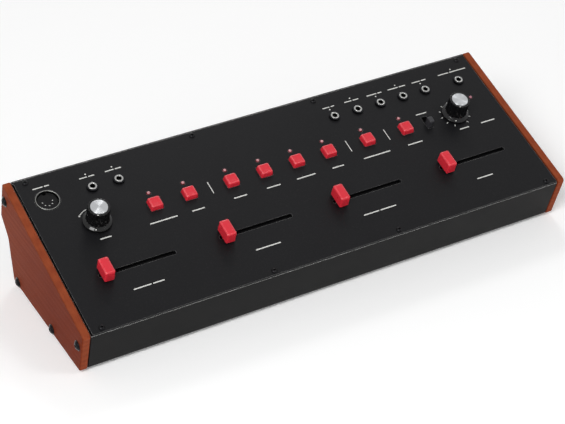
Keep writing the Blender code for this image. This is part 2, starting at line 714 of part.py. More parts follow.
def make_ribbon(upper_end, lower_end):
    """A flat cable that leaves both headers straight and bends through a smooth curve between."""
    inwards = Vector((0, math.sin(PANEL_TILT), -math.cos(PANEL_TILT)))
    slack = (upper_end - lower_end).length * RIBBON_SLACK
    path = []
    for k in range(RIBBON_STEPS + 1):
        t = k / RIBBON_STEPS
        path.append((1 - t) ** 3 * upper_end + 3 * (1 - t) ** 2 * t * (upper_end + slack * inwards)
                    + 3 * (1 - t) * t ** 2 * (lower_end + Vector((0, 0, slack))) + t ** 3 * lower_end)
    mesh = bpy.data.meshes.new("ribbon_cable")
    points = [Vector((side * RIBBON[0] / 2, p.y, p.z)) for p in path for side in (-1, 1)]
    mesh.from_pydata(points, [], [(2 * k, 2 * k + 1, 2 * k + 3, 2 * k + 2) for k in range(RIBBON_STEPS)])
    ribbon = add_object("ribbon_cable", mesh)
    thickness = ribbon.modifiers.new("thickness", "SOLIDIFY")
    thickness.thickness = RIBBON[1]
    thickness.offset = 0
    finish(ribbon, (0.35, 0.35, 0.36), 0.6)


# Five-pin sockets: a bright shield ring round a black face with pins on a half circle

def make_five_pin_socket(name, frame, place, depth):
    housing_half = FIVE_PIN_HOUSING / 2
    mesh = block_mesh(name, (-housing_half, -housing_half, -depth),
                      (housing_half, housing_half, -FIVE_PIN_HOUSING_TOP))
    socket = add_object(name, mesh, frame, place)
    groove_floor = -depth + 2 * SHEET
    cut(socket, rod_mesh("groove", FIVE_PIN_SHIELD + GAP, groove_floor, 0, ROUND))
    join(socket, rod_mesh("face", FIVE_PIN_FACE, groove_floor - SHEET, -FIVE_PIN_FACE_DEPTH, ROUND))
    pins = bmesh.new()
    for k in range(5):
        angle = math.pi + math.pi / 4 * k
        centre = (PIN_CIRCLE * math.cos(angle), PIN_CIRCLE * math.sin(angle))
        rod(pins, PIN_HOLE, -FIVE_PIN_FACE_DEPTH - PIN_HOLE_DEPTH, 0, SMALL, centre)
    key_half = FIVE_PIN_KEY[0] / 2
    box(pins, (-key_half, FIVE_PIN_FACE - FIVE_PIN_KEY[1], -FIVE_PIN_FACE_DEPTH - PIN_HOLE_DEPTH),
        (key_half, FIVE_PIN_FACE + GAP, 0))
    cut(socket, mesh_from("pins", pins))
    finish(socket, BLACK_PLASTIC, 0.45)
    inner = FIVE_PIN_SHIELD - FIVE_PIN_SHIELD_WALL
    ring = plate_mesh(name, [circle(0, 0, FIVE_PIN_SHIELD, ROUND), circle(0, 0, inner, ROUND)], 1)
    low = groove_floor + GAP
    ring.transform(Matrix.Diagonal((1, 1, FIVE_PIN_SHIELD_HEIGHT - low, 1)))
    ring.transform(Matrix.Translation((0, 0, (FIVE_PIN_SHIELD_HEIGHT + low) / 2)))
    shield = add_object(name.replace("socket", "shield"), ring, frame, place)
    finish(shield, BRIGHT_METAL, 0.25, 1.0)


# Patch jacks, each with the round nut that clamps it to the panel

def make_jacks():
    half = Vector(JACK_BODY) / 2
    jack = add_object("jack", block_mesh("jack", (-half.x, -half.y, BOARD_TOP),
                                         (half.x, half.y, PANEL_UNDERSIDE)))
    profile = [(0, JACK_HEIGHT), (JACK_BUSHING, JACK_HEIGHT), (JACK_BUSHING, GAP + JACK_NUT_HEIGHT),
               (JACK_NUT, GAP + JACK_NUT_HEIGHT), (JACK_NUT, GAP), (JACK_BUSHING, GAP),
               (JACK_BUSHING, PANEL_UNDERSIDE - SEAT), (0, PANEL_UNDERSIDE - SEAT)]
    join(jack, turned_mesh("bushing", profile, MEDIUM))
    cut(jack, rod_mesh("bore", JACK_BORE, -JACK_DEPTH, 2 * JACK_HEIGHT, SMALL))
    finish(jack, NICKEL, 0.3, 1.0)
    repeat("patch_jack", jack, [(x, JACK_ROW, 0) for x in jack_places], panel_frame)


# Push buttons: square caps with slightly drafted sides, on round stems that press the key switches

def rounded_cap(name, size, low, high, draft, rounding, rounded_below):
    """A block with drafted sides and rounded edges, those round its underside only on request."""
    half = Vector(size[:2]) / 2
    form = bmesh.new()
    for corner in box(form, (-half.x, -half.y, low), (half.x, half.y, high)):
        if corner.co.z > (low + high) / 2:
            corner.co.x -= math.copysign(draft, corner.co.x)
            corner.co.y -= math.copysign(draft, corner.co.y)
    edges = [e for e in form.edges if rounded_below or max(v.co.z for v in e.verts) > low]
    bmesh.ops.bevel(form, geom=edges, offset=rounding, segments=2, profile=0.5, affect="EDGES")
    return add_object(name, mesh_from(name, form))


def make_buttons():
    stem_bottom = BOARD_TOP + KEY_SWITCH_HEIGHT - BUTTON_STEM_REACH
    cap = rounded_cap("cap", (BUTTON_CAP, BUTTON_CAP), -BUTTON_SKIRT, BUTTON_HEIGHT, BUTTON_DRAFT,
                      BUTTON_ROUNDING, False)
    join(cap, rod_mesh("stem", BUTTON_STEM, stem_bottom, -BUTTON_SKIRT + SEAT, SMALL))
    finish(cap, RED_PLASTIC, 0.35)
    repeat("button_cap", cap, [(x, CONTROL_ROW, 0) for x in button_places], panel_frame)


# Rotary controls: a potentiometer on the board, its nut, and a fluted knob on its shaft

def make_pots():
    half = Vector(POT_BODY) / 2
    top = BOARD_TOP + POT_HEIGHT
    for name, x in knob_places.items():
        mesh = block_mesh("pot", (-half.x, -half.y, BOARD_TOP), (half.x, half.y, top))
        pot = add_object(name + "_pot", mesh, panel_frame, (x, CONTROL_ROW, 0))
        join(pot, rod_mesh("bushing", BUSHING, top - SEAT, BUSHING_HEIGHT, MEDIUM))
        join(pot, rod_mesh("nut", NUT_RADIUS, GAP, GAP + NUT_HEIGHT, 6))
        cut(pot, rod_mesh("bore", SHAFT + RUNNING_GAP, top, 2 * BUSHING_HEIGHT, MEDIUM))
        finish(pot, NICKEL, 0.4, 0.9)


def make_knob(name, x):
    place = (x, CONTROL_ROW, 0)
    recess = KNOB_HEIGHT - DISC_THICKNESS - GAP
    rim = KNOB_HEIGHT - DISC_THICKNESS * 0.4
    shaft_top = KNOB_HEIGHT * 0.76
    cavity = NUT_RADIUS + 3 * GAP
    cavity_top = NUT_HEIGHT + 4 * GAP
    skirt_top = KNOB_LIFT + KNOB_SKIRT_HEIGHT
    profile = [(0, recess), (DISC_RADIUS + GAP, recess), (DISC_RADIUS + GAP, rim),
               (KNOB_TOP - GAP, rim), (KNOB_TOP, rim - GAP), (KNOB_BASE, skirt_top + 3 * GAP),
               (KNOB_BASE + GAP, skirt_top), (KNOB_SKIRT - GAP, skirt_top - 2 * GAP),
               (KNOB_SKIRT, skirt_top - 4 * GAP), (KNOB_SKIRT, KNOB_LIFT), (cavity, KNOB_LIFT),
               (cavity, cavity_top), (SHAFT + GAP, cavity_top), (SHAFT + GAP, shaft_top + GAP),
               (0, shaft_top + GAP)]
    mesh = turned_mesh(name + "_knob", profile, KNOB_FLUTES)
    knob = add_object(name + "_knob", mesh, panel_frame, place)
    flutes = bmesh.new()
    for k in range(KNOB_FLUTES):
        angle = 2 * math.pi * (k + 0.5) / KNOB_FLUTES
        reach = KNOB_BASE - KNOB_FLUTE_DEPTH + KNOB_FLUTE_RADIUS
        rod(flutes, KNOB_FLUTE_RADIUS, skirt_top + 4 * GAP, KNOB_HEIGHT + GAP, 6,
            (reach * math.cos(angle), reach * math.sin(angle)))
    cut(knob, mesh_from("flutes", flutes))
    finish(knob, BLACK_PLASTIC, 0.2)
    chamfer = DISC_THICKNESS * 0.3
    disc_profile = [(0, KNOB_HEIGHT), (DISC_RADIUS - chamfer, KNOB_HEIGHT),
                    (DISC_RADIUS, KNOB_HEIGHT - chamfer), (DISC_RADIUS, recess + GAP), (0, recess + GAP)]
    mesh = turned_mesh(name + "_knob_disc", disc_profile, ROUND)
    finish(add_object(name + "_knob_disc", mesh, panel_frame, place), BRIGHT_METAL, 0.3, 1.0)
    shaft_bottom = BOARD_TOP + POT_HEIGHT + GAP
    mesh = rod_mesh(name + "_shaft", SHAFT, shaft_bottom, shaft_top, MEDIUM)
    finish(add_object(name + "_shaft", mesh, panel_frame, place), BRIGHT_METAL, 0.35, 1.0)


# Slide controls: a channel on the board, a lever that runs in it, and a tall cap on the lever

def make_sliders():
    half = Vector(SLIDER_BODY) / 2
    foot = Vector(LEVER_FOOT) / 2
    blade = Vector(LEVER) / 2
    body_top = BOARD_TOP + SLIDER_BODY[2]
    foot_bottom = BOARD_TOP + SLIDER_FLOOR + RUNNING_GAP
    foot_top = foot_bottom + LEVER_FOOT[2]
    run = SLIDER_TRAVEL / 2 + foot.x + 2 * RUNNING_GAP
    mesh = block_mesh("body", (-half.x, -half.y, BOARD_TOP), (half.x, half.y, body_top))
    body = add_object("body", mesh)
    channel_half = foot.y + RUNNING_GAP
    cut(body, block_mesh("channel", (-run, -channel_half, foot_bottom - RUNNING_GAP),
                         (run, channel_half, foot_top + RUNNING_GAP)))
    slot_half = blade.y + RUNNING_GAP
    cut(body, block_mesh("slot", (-run, -slot_half, foot_top), (run, slot_half, body_top + GAP)))
    finish(body, NICKEL, 0.4, 0.9)
    repeat("slider_body", body, [(x, SLIDERS_FROM_FRONT, 0) for x in slider_places], panel_frame)

    rest_places = [(x - SLIDER_TRAVEL / 2, SLIDERS_FROM_FRONT, 0) for x in slider_places]
    lever = add_object("lever", block_mesh("lever", (-foot.x, -foot.y, foot_bottom),
                                           (foot.x, foot.y, foot_top)))
    join(lever, block_mesh("blade", (-blade.x, -blade.y, foot_top - SEAT),
                           (blade.x, blade.y, LEVER_RISE)))
    finish(lever, BRIGHT_METAL, 0.35, 1.0)
    repeat("slider_lever", lever, rest_places, panel_frame)

    cap = rounded_cap("cap", SLIDER_CAP, SLIDER_CAP_LIFT, SLIDER_CAP_LIFT + SLIDER_CAP[2],
                      SLIDER_CAP_DRAFT, SLIDER_CAP_ROUNDING, True)
    cut(cap, block_mesh("pocket", (-blade.x - GAP, -blade.y - GAP, 0),
                        (blade.x + GAP, blade.y + GAP, LEVER_RISE + GAP)))
    finish(cap, RED_PLASTIC, 0.35)
    repeat("slider_cap", cap, rest_places, panel_frame)


# Two-position slide switch beside the right-hand knob

def make_mode_switch():
    half = Vector(MODE_BODY) / 2
    lever_half = Vector(MODE_LEVER) / 2
    mesh = block_mesh("mode_switch_body", (-half.x, -half.y, BOARD_TOP), (half.x, half.y, PANEL_UNDERSIDE))
    body = add_object("mode_switch_body", mesh, panel_frame, (mode_switch_x, CONTROL_ROW, 0))
    run = lever_half.y + MODE_SWITCH_TRAVEL / 2 + RUNNING_GAP
    side = lever_half.x + RUNNING_GAP
    cut(body, block_mesh("track", (-side, -run, -MODE_LEVER_DEPTH - GAP), (side, run, 0)))
    finish(body, BLACK_PLASTIC, 0.5)
    mesh = block_mesh("mode_switch_lever", (-lever_half.x, -lever_half.y, -MODE_LEVER_DEPTH),
                      (lever_half.x, lever_half.y, MODE_LEVER_RISE))
    place = (mode_switch_x, CONTROL_ROW - MODE_SWITCH_TRAVEL / 2, 0)
    lever = add_object("mode_switch_lever", mesh, panel_frame, place)
    ease(lever, 2 * GAP, 2)
    finish(lever, BLACK_PLASTIC, 0.4)


# Rear wall: power switch, direct-current inlet, data socket, five-pin socket and output jacks

def make_power_switch():
    half = Vector(SWITCH_FRAME) / 2
    shell = Vector(SWITCH_SHELL) / 2
    window = Vector(SWITCH_WINDOW) / 2
    place = (-SWITCH_AT, SWITCH_RISE, 0)
    frame_top = GAP + SWITCH_FRAME[2]
    mesh = block_mesh("power_switch_housing", (-half.x, -half.y, GAP), (half.x, half.y, frame_top))
    housing = add_object("power_switch_housing", mesh, rear_frame, place)
    join(housing, block_mesh("shell", (-shell.x, -shell.y, -SWITCH_SHELL[2]), (shell.x, shell.y, 2 * GAP)))
    cut(housing, block_mesh("window", (-window.x, -window.y, -SWITCH_SHELL[2] + SHEET),
                            (window.x, window.y, 2 * frame_top)))
    finish(housing, BLACK_PLASTIC, 0.45)
    # The rocker turns about a pin; its two faces meet at a shallow angle
    low = ROCKER_PIVOT_DEPTH - ROCKER_DEPTH
    side = window.y - 2 * RUNNING_GAP - ROCKER_RISE * math.sin(ROCKER_SWING / 2)
    outline = [Vector((low, -side * 0.6)), Vector((ROCKER_RISE, -side)),
               Vector((ROCKER_RISE - ROCKER_DIP, 0)), Vector((ROCKER_RISE, side)),
               Vector((low, side * 0.6))]
    mesh = plate_mesh("power_rocker", [outline], SWITCH_WINDOW[0] - 4 * RUNNING_GAP)
    mesh.transform(Matrix.Rotation(-math.pi / 2, 4, "Y"))
    rocker = add_object("power_rocker", mesh, rear_frame, (-SWITCH_AT, SWITCH_RISE, -ROCKER_PIVOT_DEPTH))
    rocker.rotation_euler = (ROCKER_SWING / 2, 0, 0)
    finish(rocker, BLACK_PLASTIC, 0.3)


def make_rear_sockets():
    half = Vector(DC_BODY) / 2
    mesh = block_mesh("dc_inlet", (-half.x, -half.y, -DC_BODY[2]), (half.x, half.y, GAP))
    inlet = add_object("dc_inlet", mesh, rear_frame, (-DC_AT, connector_row(DC_BODY[1]), 0))
    cut(inlet, rod_mesh("bore", DC_BORE, -DC_HOLE_DEPTH, 2 * GAP, MEDIUM))
    join(inlet, rod_mesh("pin", DC_PIN, -DC_HOLE_DEPTH - GAP, -SHEET, SMALL))
    finish(inlet, BLACK_PLASTIC, 0.4)
    half = Vector(DATA_BODY) / 2
    mouth = Vector(DATA_MOUTH) / 2
    tongue = Vector(DATA_TONGUE) / 2
    mesh = block_mesh("data_socket", (-half.x, -half.y, -DATA_BODY[2]), (half.x, half.y, GAP))
    data = add_object("data_socket", mesh, rear_frame, (-DATA_AT, connector_row(DATA_BODY[1]), 0))
    cut(data, block_mesh("mouth", (-mouth.x, -mouth.y, -DATA_DEPTH), (mouth.x, mouth.y, 2 * GAP)))
    join(data, block_mesh("tongue", (-tongue.x, -tongue.y, -DATA_DEPTH - GAP),
                         (tongue.x, tongue.y, -SHEET)))
    finish(data, BRIGHT_METAL, 0.35, 0.9)
    half = Vector(OUT_BODY) / 2
    inner_face = -SHEET - GAP
    mesh = block_mesh("jack", (-half.x, -half.y, -OUT_BODY[2]), (half.x, half.y, inner_face))
    jack = add_object("jack", mesh)
    join(jack, rod_mesh("bushing", OUT_BUSHING, inner_face - SEAT, OUT_RISE, MEDIUM))
    join(jack, rod_mesh("nut", OUT_NUT, GAP, GAP + OUT_NUT_HEIGHT, 6))
    cut(jack, rod_mesh("bore", OUT_BORE, -OUT_HOLE_DEPTH, 2 * OUT_RISE, MEDIUM))
    finish(jack, BLACK_PLASTIC, 0.4)
    repeat("output_jack", jack, [(-x, connector_row(OUT_BODY[1]), 0) for x in OUT_AT], rear_frame)


make_front_panel()
make_tray()
make_cheek("left_cheek", -1)
make_cheek("right_cheek", 1)
make_feet()
make_boards()
make_five_pin_socket("five_pin_in_socket", panel_frame, (FIVE_PIN_SIDE, JACK_ROW, 0), -BOARD_TOP)
make_jacks()
make_buttons()
make_pots()
for knob_name, knob_x in knob_places.items():
    make_knob(knob_name, knob_x)
make_sliders()
make_mode_switch()
make_power_switch()
make_rear_sockets()
thru_place = (-THRU_AT, connector_row(FIVE_PIN_HOUSING), 0)
make_five_pin_socket("five_pin_thru_socket", rear_frame, thru_place, FIVE_PIN_DEPTH)
bpy.context.view_layer.update()
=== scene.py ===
# Desktop analog string synthesizer: the looks of each piece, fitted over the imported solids.
# Metres, +Z up, the player at -Y. Panel coordinates run along the panel, up its slope, and out of it.

import math

import bmesh
import bpy
from mathutils import Matrix, Vector


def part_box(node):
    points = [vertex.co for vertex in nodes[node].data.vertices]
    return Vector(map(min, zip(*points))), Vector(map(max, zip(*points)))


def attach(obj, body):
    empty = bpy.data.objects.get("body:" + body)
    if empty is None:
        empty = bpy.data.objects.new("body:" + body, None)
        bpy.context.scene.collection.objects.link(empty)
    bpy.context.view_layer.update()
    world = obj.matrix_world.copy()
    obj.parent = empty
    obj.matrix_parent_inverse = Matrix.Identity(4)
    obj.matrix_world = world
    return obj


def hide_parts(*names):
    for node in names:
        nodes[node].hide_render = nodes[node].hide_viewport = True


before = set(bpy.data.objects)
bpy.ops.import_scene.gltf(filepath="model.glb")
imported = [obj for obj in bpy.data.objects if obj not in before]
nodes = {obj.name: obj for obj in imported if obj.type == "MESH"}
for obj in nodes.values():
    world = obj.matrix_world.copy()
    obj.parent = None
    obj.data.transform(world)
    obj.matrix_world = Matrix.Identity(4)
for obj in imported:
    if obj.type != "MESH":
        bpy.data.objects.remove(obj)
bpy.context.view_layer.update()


# WOODEN CHEEKS
# Two boards of reddish hardwood close the ends of the case. Each is sawn to the side view of the
# case, with its corners rounded, its edges eased by sanding, and an oiled, open-pored finish.

CASE_LEAN = math.radians(16.6)
PANEL_TILT = math.radians(18.95)
CASE_FRONT = 0.0333
CASE_BACK = 0.031
CASE_TOP = 0.1308
REAR_FOOT = 0.1093
REAR_LEAN = math.radians(6)
UNDERCUT = math.radians(52.5)
CHEEK_CORNERS = (0.0015, 0.003, 0.006, 0.003, 0.0015, 0.0025)
CHEEK_EASING = 0.001


def tone(code):
    """A colour as the shader wants it, from the usual six-digit code."""
    parts = [int(code[i:i + 2], 16) / 255 for i in (0, 2, 4)]
    return (*(p / 12.92 if p <= 0.04045 else ((p + 0.055) / 1.055) ** 2.4 for p in parts), 1)


def rounded(corners, radii, steps):
    """Turn each corner of a closed outline into an arc of its own radius, or keep it sharp."""
    points = []
    for i, radius in enumerate(radii):
        corner = Vector(corners[i])
        before = (Vector(corners[i - 1]) - corner).normalized()
        after = (Vector(corners[(i + 1) % len(corners)]) - corner).normalized()
        if radius <= 0:
            points.append(corner)
            continue
        half = before.angle(after) / 2
        centre = corner + (before + after).normalized() * radius / math.sin(half)
        first = corner + before * radius / math.tan(half) - centre
        last = corner + after * radius / math.tan(half) - centre
        sweep = math.copysign(math.pi - 2 * half, first.x * last.y - first.y * last.x)
        begin = math.atan2(first.y, first.x)
        for k in range(steps + 1):
            angle = begin + sweep * k / steps
            points.append(centre + radius * Vector((math.cos(angle), math.sin(angle))))
    return points


def inset(edges, distances):
    """Corners of an outline whose edges each move inwards by their own distance."""
    moved = []
    for (point, angle), distance in zip(edges, distances):
        along = Vector((math.cos(angle), math.sin(angle)))
        inward = Vector((-math.sin(angle), math.cos(angle)))
        moved.append((Vector(point) + inward * distance, along))
    corners = []
    for i, (point, along) in enumerate(moved):
        start, way = moved[i - 1]
        between = point - start
        crossing = way.x * along.y - way.y * along.x
        corners.append(start + way * (between.x * along.y - between.y * along.x) / crossing)
    return corners


def put(name, data):
    created = bpy.data.objects.new(name, data)
    bpy.context.scene.collection.objects.link(created)
    return created


def applied(source, *spent):
    """The evaluated mesh of an object, which is then dropped with what else was spent on it."""
    bpy.context.view_layer.update()
    seen = source.evaluated_get(bpy.context.evaluated_depsgraph_get())
    mesh = bpy.data.meshes.new_from_object(seen)
    for used in (source, *spent):
        bpy.data.objects.remove(used)
    return mesh


def finished(form):
    """A mesh from what was built in bmesh, which is then freed."""
    mesh = bpy.data.meshes.new("finished")
    form.to_mesh(mesh)
    form.free()
    return mesh


def plate(outlines, low, high, easing=0.0, segments=2):
    """A flat plate with holes between two heights, with its edges eased where asked."""
    curve = bpy.data.curves.new("outlines", "CURVE")
    curve.dimensions = "2D"
    curve.fill_mode = "BOTH"
    curve.extrude = (high - low) / 2
    for outline in outlines:
        spline = curve.splines.new("POLY")
        spline.points.add(len(outline) - 1)
        for point, corner in zip(spline.points, outline):
            point.co = (corner[0], corner[1], 0, 1)
        spline.use_cyclic_u = True
    form = bmesh.new()
    form.from_mesh(applied(put("outlines", curve)))
    bmesh.ops.remove_doubles(form, verts=form.verts, dist=0.000001)
    bmesh.ops.dissolve_limit(form, angle_limit=0.001, verts=form.verts, edges=form.edges)
    bmesh.ops.translate(form, vec=(0, 0, (high + low) / 2), verts=form.verts)
    bmesh.ops.recalc_face_normals(form, faces=form.faces)
    mesh = finished(form)
    if easing:
        holder = put("plate", mesh)
        bevel = holder.modifiers.new("eased", "BEVEL")
        bevel.width = easing
        bevel.segments = segments
        bevel.limit_method = "ANGLE"
        bevel.angle_limit = math.radians(60)
        mesh = applied(holder)
    return mesh


def fill(tree, sockets, values):
    """Set constant values on the sockets themselves, and wire what varies to them."""
    for label, value in values.items():
        if isinstance(value, bpy.types.NodeSocket):
            tree.links.new(value, sockets[label])
        else:
            sockets[label].default_value = value


def add(tree, kind, inputs, **settings):
    """The outputs of a new node."""
    made = tree.nodes.new(kind)
    for label, value in settings.items():
        setattr(made, label, value)
    fill(tree, made.inputs, inputs)
    return made.outputs


def times(tree, first, second, use_clamp=False):
    return add(tree, "ShaderNodeMath", {0: first, 1: second}, operation="MULTIPLY",
               use_clamp=use_clamp)["Value"]


def ranged(tree, value, source, target=(0, 1), **settings):
    """A value brought from one range to another."""
    inputs = {"Value": value, "From Min": source[0], "From Max": source[1], "To Min": target[0],
              "To Max": target[1]}
    return add(tree, "ShaderNodeMapRange", inputs, **settings)["Result"]


def blended(tree, factor, first, second, **settings):
    inputs = {"Factor": factor, "A": first, "B": second}
    return add(tree, "ShaderNodeMix", inputs, data_type="RGBA", **settings)["Result"]


def bumps(tree, height, distance):
    return add(tree, "ShaderNodeBump", {"Height": height, "Distance": distance})["Normal"]


def noise(tree, place, scale, detail, **inputs):
    inputs = {"Vector": place, "Scale": scale, "Detail": detail, **inputs}
    return add(tree, "ShaderNodeTexNoise", inputs)["Fac"]


def object_place(tree, scale=(1, 1, 1), turn=(0, 0, 0)):
    """Object coordinates through a mapping that stretches and turns the pattern."""
    place = add(tree, "ShaderNodeTexCoord", {})["Object"]
    return add(tree, "ShaderNodeMapping", {"Vector": place, "Scale": scale, "Rotation": turn})["Vector"]


def part(tree, vector, axis):
    return add(tree, "ShaderNodeSeparateXYZ", {"Vector": vector})[axis]


def new_group(name, kind, inputs, outputs):
    """An empty node group, the outputs of its input node and the inputs of its output node."""
    tree = bpy.data.node_groups.new(name, kind)
    for way, sockets in (("INPUT", inputs), ("OUTPUT", outputs)):
        for label, form, *value in sockets:
            socket = tree.interface.new_socket(label, in_out=way, socket_type="NodeSocket" + form)
            if value:
                socket.default_value = value[0]
    return tree, tree.nodes.new("NodeGroupInput").outputs, tree.nodes.new("NodeGroupOutput").inputs


def feed(tree, **values):
    """Fill a shader's sockets, named with underscores for their spaces."""
    sockets = tree.nodes["Principled BSDF"].inputs
    fill(tree, sockets, {label.replace("_", " "): value for label, value in values.items()})


def new_finish(name, colour, roughness, **values):
    """A material and its tree of nodes, with its constant values on its shader."""
    material = bpy.data.materials.new(name)
    material.use_nodes = True
    feed(material.node_tree, Base_Color=colour, Roughness=roughness, **values)
    return material, material.node_tree


def build_patina():
    """Shared by all finishes: mottled gloss, fine bumps, settled dust, and a mask of the upward-facing
    edges that the finishes paint paler, a painted highlight on the red plastic and the paints.
    """
    defaults = {"Mottle Scale": 60.0, "Gloss Low": 0.3, "Gloss High": 0.4, "Grain Scale": 2000.0,
                "Grain Depth": 0.00002, "Dust": 0.0, "Edge Size": 0.0004, "Edge Wear": 0.0}
    tree, given, result = new_group(
        "patina", "ShaderNodeTree", [(label, "Float", value) for label, value in defaults.items()],
        [("Roughness", "Float"), ("Normal", "Vector"), ("Dust Mask", "Float"), ("Edge Mask", "Float")])
    place = add(tree, "ShaderNodeTexCoord", {})["Object"]
    mottle = noise(tree, place, given["Mottle Scale"], 4)
    gloss = ranged(tree, mottle, (0.3, 0.7), (given["Gloss Low"], given["Gloss High"]))
    grain = noise(tree, place, given["Grain Scale"], 2)
    specks = ranged(tree, noise(tree, place, 900, 5), (0.55, 0.8))
    facing = add(tree, "ShaderNodeNewGeometry", {})["Normal"]
    settled = times(tree, part(tree, facing, "Z"), specks, True)
    softened = add(tree, "ShaderNodeBevel", {"Radius": given["Edge Size"]}, samples=4)["Normal"]
    likeness = add(tree, "ShaderNodeVectorMath", {0: softened, 1: facing}, operation="DOT_PRODUCT")
    edges = ranged(tree, likeness["Value"], (0.995, 0.96))
    reached = times(tree, edges, ranged(tree, part(tree, softened, "Z"), (0.3, 0.5)))
    highlighted_and_worn_edges = times(tree, times(tree, reached, mottle), given["Edge Wear"], True)
    fill(tree, result, {"Roughness": gloss, "Normal": bumps(tree, grain, given["Grain Depth"]),
                        "Dust Mask": times(tree, settled, given["Dust"], True), "Edge Mask": highlighted_and_worn_edges})
    return tree


PATINA = build_patina()


def dress(name, mesh, place, material, replaced=(), body="case", angle=40):
    """A finished piece, smooth up to an angle, with flat faces kept flat beside eased edges."""
    mesh.transform(place)
    mesh.shade_smooth()
    mesh.set_sharp_from_angle(angle=math.radians(angle))
    holder = put("smoothed", mesh)
    holder.modifiers.new("normals", "WEIGHTED_NORMAL").keep_sharp = True
    mesh = applied(holder)
    mesh.name = name
    mesh.materials.clear()
    mesh.materials.append(material)
    piece = put(name, mesh)
    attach(piece, body)
    if replaced:
        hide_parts(*replaced)


def build_wood():
    """Straight-grained reddish hardwood with open pores; painted shade darkens its big side faces, more
    towards the front, and its upper edges are paler, partly sanding wear and partly painted highlight.
    """
    wood, tree = new_finish("oiled_wood", tone("8a4228"), 0.5, Specular_IOR_Level=0.03)
    tilt = (math.radians(6), 0, 0)
    streaks = noise(tree, object_place(tree, (130, 7, 130), tilt), 3, 6, Roughness=0.6)
    bands = add(tree, "ShaderNodeTexWave", {
        "Vector": object_place(tree, (60, 12, 200), tilt), "Scale": 0.35, "Distortion": 7, "Detail": 3,
        "Detail Scale": 1.5}, bands_direction="Z")["Fac"]
    figure = add(tree, "ShaderNodeMix", {"Factor": 0.2, "A": streaks, "B": bands}, data_type="FLOAT")
    colours = tree.nodes.new("ShaderNodeValToRGB")
    ramp = colours.color_ramp
    ramp.elements.new(0.5)
    for element, position, code in zip(ramp.elements, (0.22, 0.5, 0.8), ("803a25", "8a4228", "964a2e")):
        element.position = position
        element.color = tone(code)
    tree.links.new(figure["Result"], colours.inputs["Fac"])
    pores = ranged(tree, noise(tree, object_place(tree, (260, 9, 260), tilt), 9, 3), (0.3, 0.42))
    darkened = blended(tree, 0.2, colours.outputs["Color"], pores, blend_type="MULTIPLY")
    # Painted shade: the big side faces are darkened, more towards the front.
    facing = add(tree, "ShaderNodeNewGeometry", {})["True Normal"]
    sideways = add(tree, "ShaderNodeVectorMath", {0: facing}, operation="ABSOLUTE")["Vector"]
    depth = ranged(tree, part(tree, object_place(tree), "Y"), (0.055, -0.02), (0.62, 1))
    painted_side_shade = times(tree, part(tree, sideways, "X"), depth)
    side_shaded_wood = blended(tree, 1, darkened, blended(tree, painted_side_shade, tone("ffffff"), tone("c4a286")),
                     blend_type="MULTIPLY")
    # Paler upper edges: partly sanding wear, partly painted highlight.
    edges = add(tree, "ShaderNodeGroup", {"Edge Size": 0.001, "Edge Wear": 0.7}, node_tree=PATINA)
    highlighted_and_sanded_wood = blended(tree, edges["Edge Mask"], side_shaded_wood, tone("b07050"))
    feed(tree, Base_Color=highlighted_and_sanded_wood, Roughness=ranged(tree, figure["Result"], (0, 1), (0.58, 0.42)),
         Normal=bumps(tree, pores, 0.00006))
    return wood


cheek_front = Vector((-CASE_FRONT * math.tan(CASE_LEAN), CASE_FRONT))
cheek_back = cheek_front + CASE_TOP * Vector((math.cos(PANEL_TILT), math.sin(PANEL_TILT)))
cheek_nose = cheek_back + CASE_BACK * Vector((math.sin(CASE_LEAN), -math.cos(CASE_LEAN)))
case_edges = [(Vector((0, 0)), 0.0), (Vector((REAR_FOOT, 0)), math.pi / 2 - REAR_LEAN),
              (cheek_nose, UNDERCUT), (cheek_back, math.pi / 2 + CASE_LEAN),
              (cheek_back, math.pi + PANEL_TILT), (cheek_front, CASE_LEAN - math.pi / 2)]
cheek_outline = rounded(inset(case_edges, [0] * 6), CHEEK_CORNERS, 12)
WOOD = build_wood()
cheek_low, cheek_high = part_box("left_cheek")
case_shift = Vector((cheek_high.y - max(p.x for p in cheek_outline), cheek_low.z))
SIDE_VIEW = Matrix(((0, 0, 1, 0), (1, 0, 0, case_shift.x), (0, 1, 0, case_shift.y), (0, 0, 0, 1)))

for cheek in ("left_cheek", "right_cheek"):
    low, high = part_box(cheek)
    board = plate([cheek_outline], low.x, high.x, CHEEK_EASING, 4)
    dress(cheek + "_board", board, SIDE_VIEW, WOOD, (cheek,))


# CHEEK SCREWS
# Four machine screws of blackened steel hold each cheek, with a thin flange under a button head and
# a hexagon socket in it. One tree of nodes sets them on their places and turns each at random.

DUST = tone("8a8782")
SCREW_INSET = 0.0058
SCREW_RISE = 0.0162
LOW_SCREW_ROW = 0.0038
LOW_SCREWS = (0.0085, 0.066)


def add_patina(tree, colour, gloss, grain=(2000.0, 0.00002), mottle=60.0, dust=0.0,
               edge=None, wear=1.0, edge_size=0.0004):
    """Vary a finish's gloss and bumps, and its colour with dust and with paler upward-facing edges, a
    painted highlight on the red plastic and the paints.
    """
    values = {"Mottle Scale": mottle, "Gloss Low": gloss[0], "Gloss High": gloss[1], "Dust": dust,
              "Grain Scale": grain[0], "Grain Depth": grain[1], "Edge Size": edge_size,
              "Edge Wear": wear}
    patina = add(tree, "ShaderNodeGroup", values, node_tree=PATINA)
    if edge:
        colour = blended(tree, patina["Edge Mask"], colour, edge)
    if dust:
        colour = blended(tree, patina["Dust Mask"], colour, DUST)
    feed(tree, Base_Color=colour, Roughness=patina["Roughness"], Normal=patina["Normal"])


def build_plain(name, code, gloss, values, **patina):
    """A finish of one colour with its patina."""
    plain, tree = new_finish(name, tone(code), gloss[0], **values)
    add_patina(tree, tone(code), gloss, **patina)
    return plain


def circle(x, y, radius, steps=48):
    angles = [2 * math.pi * k / steps for k in range(steps)]
    return [Vector((x + radius * math.cos(a), y + radius * math.sin(a))) for a in angles]


